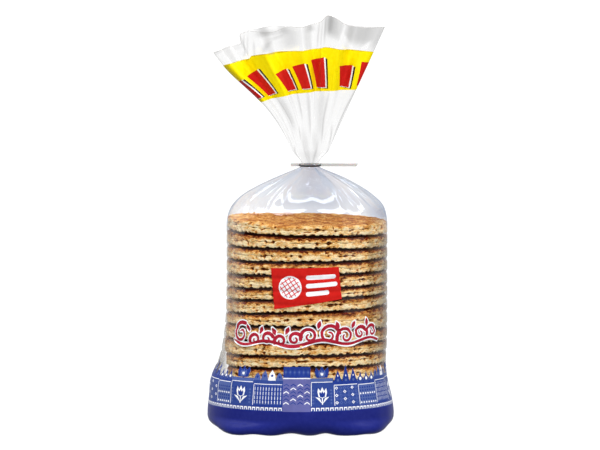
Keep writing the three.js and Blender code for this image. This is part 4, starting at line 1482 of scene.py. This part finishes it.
# %% Tie materials
def drawn_polyethylene():
    mat = new_material("drawn_polyethylene")
    place = node(mat, "ShaderNodeTexCoord")
    drawn_lines = (grain_scale(17.0), grain_scale(0.55), grain_scale(0.55))
    along = node(mat, "ShaderNodeMapping", Vector=(place, "Object"), Scale=drawn_lines)
    lines = node(mat, "ShaderNodeTexNoise", Vector=(along, "Vector"), Scale=1.0, Detail=2.0)
    milk = node(mat, "ShaderNodeValToRGB", stops=[(0.3, "#BFC0BF"), (0.7, "#D2D2D0")], Fac=(lines, "Fac"))
    drawn = node(mat, "ShaderNodeBump", Height=(lines, "Fac"), Strength=0.3, Distance=0.0002)
    skin = node(
        mat, "ShaderNodeBsdfPrincipled", Base_Color=(milk, "Color"), Roughness=0.38, IOR=1.51,
        Subsurface_Weight=0.15, Subsurface_Scale=0.001, Normal=(drawn, "Normal"),
    )  # fmt: skip
    node(mat, "ShaderNodeOutputMaterial", Surface=(skin, "BSDF"))
    return mat


def black_pvc_sleeve():
    mat = new_material("black_pvc_sleeve")
    place = node(mat, "ShaderNodeTexCoord")
    dust = node(mat, "ShaderNodeTexNoise", Vector=(place, "Object"), Scale=grain_scale(1.1), Detail=3.0)
    dye = node(mat, "ShaderNodeValToRGB", stops=[(0.35, "#0B0B0D"), (0.75, "#1C1C20")], Fac=(dust, "Fac"))
    skin = node(mat, "ShaderNodeBsdfPrincipled", Base_Color=(dye, "Color"), Roughness=0.42, IOR=1.53)
    node(mat, "ShaderNodeOutputMaterial", Surface=(skin, "BSDF"))
    return mat


for name, finish in (("tie_strip", drawn_polyethylene()), ("tie_wire", black_pvc_sleeve())):
    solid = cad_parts[name]
    solid.data.materials.clear()
    solid.data.materials.append(finish)
    print(name, "is now", finish.name)

# %% [markdown]
# ## Studio
# Clear film is seen by what it mirrors and by what is behind it, so the room matters as much as the film. A
# picture of a real studio could light the scene, but then no glint could be moved. Here five soft boxes
# overhead and two narrow strips give the glints on the dome, one at each side gives a soft upright sheen,
# and two more light the waffles and the print from the front without being mirrored. The camera sees plain
# white behind the bag. The floor is a disc of opal acrylic, as on a light table, that fades into that
# white.


# %% Floor
def opal_acrylic_light_table():
    mat = new_material("opal_acrylic_light_table")
    place = node(mat, "ShaderNodeTexCoord")
    away = node(mat, "ShaderNodeVectorMath", {"operation": "LENGTH"}, i0=(place, "Object"))
    fade = node(
        mat, "ShaderNodeMapRange", {"interpolation_type": "SMOOTHSTEP"}, Value=(away, "Value"), From_Min=0.1,
        From_Max=0.5, To_Min=0.85,
    )  # fmt: skip
    cloudy = node(mat, "ShaderNodeTexNoise", Vector=(place, "Object"), Scale=grain_scale(2.0), Detail=3.0)
    tone = node(mat, "ShaderNodeValToRGB", stops=[(0.3, "#F0F0EE"), (0.7, "#F6F6F4")], Fac=(cloudy, "Fac"))
    opal = node(mat, "ShaderNodeBsdfDiffuse", Color=(tone, "Color"), Roughness=0.5)
    glow = node(mat, "ShaderNodeBsdfTransparent", Color=linear("#FFFFFF"))
    table = node(mat, "ShaderNodeMixShader", Fac=(fade, "Result"), i1=(opal, "BSDF"), i2=(glow, "BSDF"))
    node(mat, "ShaderNodeOutputMaterial", Surface=(table, "Shader"))
    return mat


FLOOR_RADIUS = 650.0
FLOOR_GAP = 0.05  # how far the floor's top lies below the bag, so that they don't share a plane
circle = np.stack([np.cos(angles), np.sin(angles), 0.0 * angles], axis=-1)
floor_points = np.concatenate([radius * circle for radius in (1.0, 200.0, FLOOR_RADIUS)])
floor_points = floor_points - [0.0, 0.0, FLOOR_GAP]
floor_mesh = bpy.data.meshes.new("pale_floor")
floor_mesh.from_pydata((floor_points * MM).tolist(), [], ring_faces(3, SECTORS) + [tuple(range(SECTORS))])
floor_mesh.materials.append(opal_acrylic_light_table())
floor = bpy.data.objects.new("pale_floor", floor_mesh)
bpy.context.scene.collection.objects.link(floor)
floor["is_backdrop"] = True
print("floor disc of", 2 * FLOOR_RADIUS, "mm")

# %% [markdown]
# The room itself is three backgrounds in one. The camera sees white. What is mirrored gets darker towards
# the camera, because film that mirrors a white room all round looks milky. All other light comes from a
# grey room.

# %% Room
room = bpy.data.worlds.new("studio_room")
bpy.context.scene.world = room
room.use_nodes = True
room.node_tree.nodes.clear()
seen = node(room, "ShaderNodeLightPath")
toward = node(room, "ShaderNodeTexCoord")
parts = node(room, "ShaderNodeSeparateXYZ", Vector=(toward, "Generated"))
backdrop = node(
    room, "ShaderNodeMapRange", {"interpolation_type": "SMOOTHSTEP"}, Value=(parts, "Y"), From_Min=0.1,
    From_Max=0.9, To_Min=0.03, To_Max=0.72,
)  # fmt: skip
white = node(room, "ShaderNodeBackground", Color=linear("#FFFFFF"), Strength=1.14)
mirrored = node(room, "ShaderNodeBackground", Color=linear("#EDEEF0"), Strength=(backdrop, "Result"))
grey = node(room, "ShaderNodeBackground", Color=linear("#6F7278"), Strength=1.0)
unseen = node(
    room, "ShaderNodeMixShader", Fac=(seen, "Is Glossy Ray"), i1=(grey, "Background"),
    i2=(mirrored, "Background"),
)  # fmt: skip
both = node(
    room, "ShaderNodeMixShader", Fac=(seen, "Is Camera Ray"), i1=(unseen, "Shader"), i2=(white, "Background"),
)  # fmt: skip
node(room, "ShaderNodeOutputWorld", Surface=(both, "Shader"))
print("room of", len(room.node_tree.nodes), "nodes, with a white backdrop")

# %% Soft boxes
BAG_MIDDLE = Vector((0.0, 0.0, 110.0))


def soft_box(name, place, size, strength, mirrored=True, along=(0.0, 0.0, 1.0)):
    """An area light aimed at the bag, of a size in mm and with a brightness that doesn't change with size."""
    data = bpy.data.lights.new(name, "AREA")
    data.shape = "RECTANGLE"
    data.size, data.size_y = size[0] * MM, size[1] * MM
    data.energy = strength * data.size * data.size_y * math.pi
    light = bpy.data.objects.new(name, data)
    light.location = Vector(place) * MM
    back = (Vector(place) - BAG_MIDDLE).normalized()
    side = Vector(along).cross(back).normalized()
    light.rotation_euler = Matrix((side, back.cross(side), back)).transposed().to_euler()
    light.visible_camera = False
    light.visible_glossy = mirrored
    bpy.context.scene.collection.objects.link(light)


soft_box("overhead_front_left", (-640.0, -345.0, 1260.0), (760, 640), 6.4)
soft_box("overhead_front_right", (780.0, -320.0, 1240.0), (720, 620), 6.4)
soft_box("overhead_back", (0.0, 235.0, 1290.0), (1300, 150), 6.2)
soft_box("overhead_left", (-1048.0, 130.0, 973.0), (560, 360), 5.0)
soft_box("overhead_right", (1040.0, 120.0, 960.0), (380, 300), 3.4)
soft_box("strip_left", (-402.0, 532.0, 1225.0), (80, 620), 7.0, along=(0.44, 0.86, -0.25))
soft_box("strip_right", (520.0, 650.0, 1110.0), (70, 380), 7.0, along=(-0.56, 0.72, -0.17))
soft_box("right_side", (1250.0, -420.0, 420.0), (900, 1100), 0.42)
soft_box("left_side", (-1200.0, 620.0, 420.0), (900, 1100), 0.65)
soft_box("front_fill", (480.0, -2200.0, 900.0), (1300, 1000), 9.2, mirrored=False)
soft_box("left_fill", (-1900.0, -1300.0, 500.0), (1000, 1000), 1.6, mirrored=False)

# %% [markdown]
# The camera stands far away with a long lens, so that upright lines stay parallel. It looks a little down
# on the bag.

# %% Camera
CAMERA_AIM = Vector((-4.2, 0.0, 122.7)) * MM
CAMERA_DISTANCE = 5.0
CAMERA_RISE = math.radians(5.0)
camera_data = bpy.data.cameras.new("camera")
camera_data.lens = 500.0
camera_data.sensor_width = 36.0
camera_data.clip_end = 100.0
camera = bpy.data.objects.new("camera", camera_data)
back_and_up = Vector((0.0, -math.cos(CAMERA_RISE), math.sin(CAMERA_RISE)))
camera.location = CAMERA_AIM + back_and_up * CAMERA_DISTANCE
camera.rotation_euler = (CAMERA_AIM - camera.location).to_track_quat("-Z", "Y").to_euler()
bpy.context.scene.collection.objects.link(camera)
bpy.context.scene.camera = camera
bpy.context.scene.view_settings.view_transform = "Standard"
print("camera", CAMERA_DISTANCE, "m away,", round(math.degrees(CAMERA_RISE)), "degrees above level")

low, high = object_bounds()
print("visual box in mm:", [round(v / MM, 1) for v in (*low, *high)])
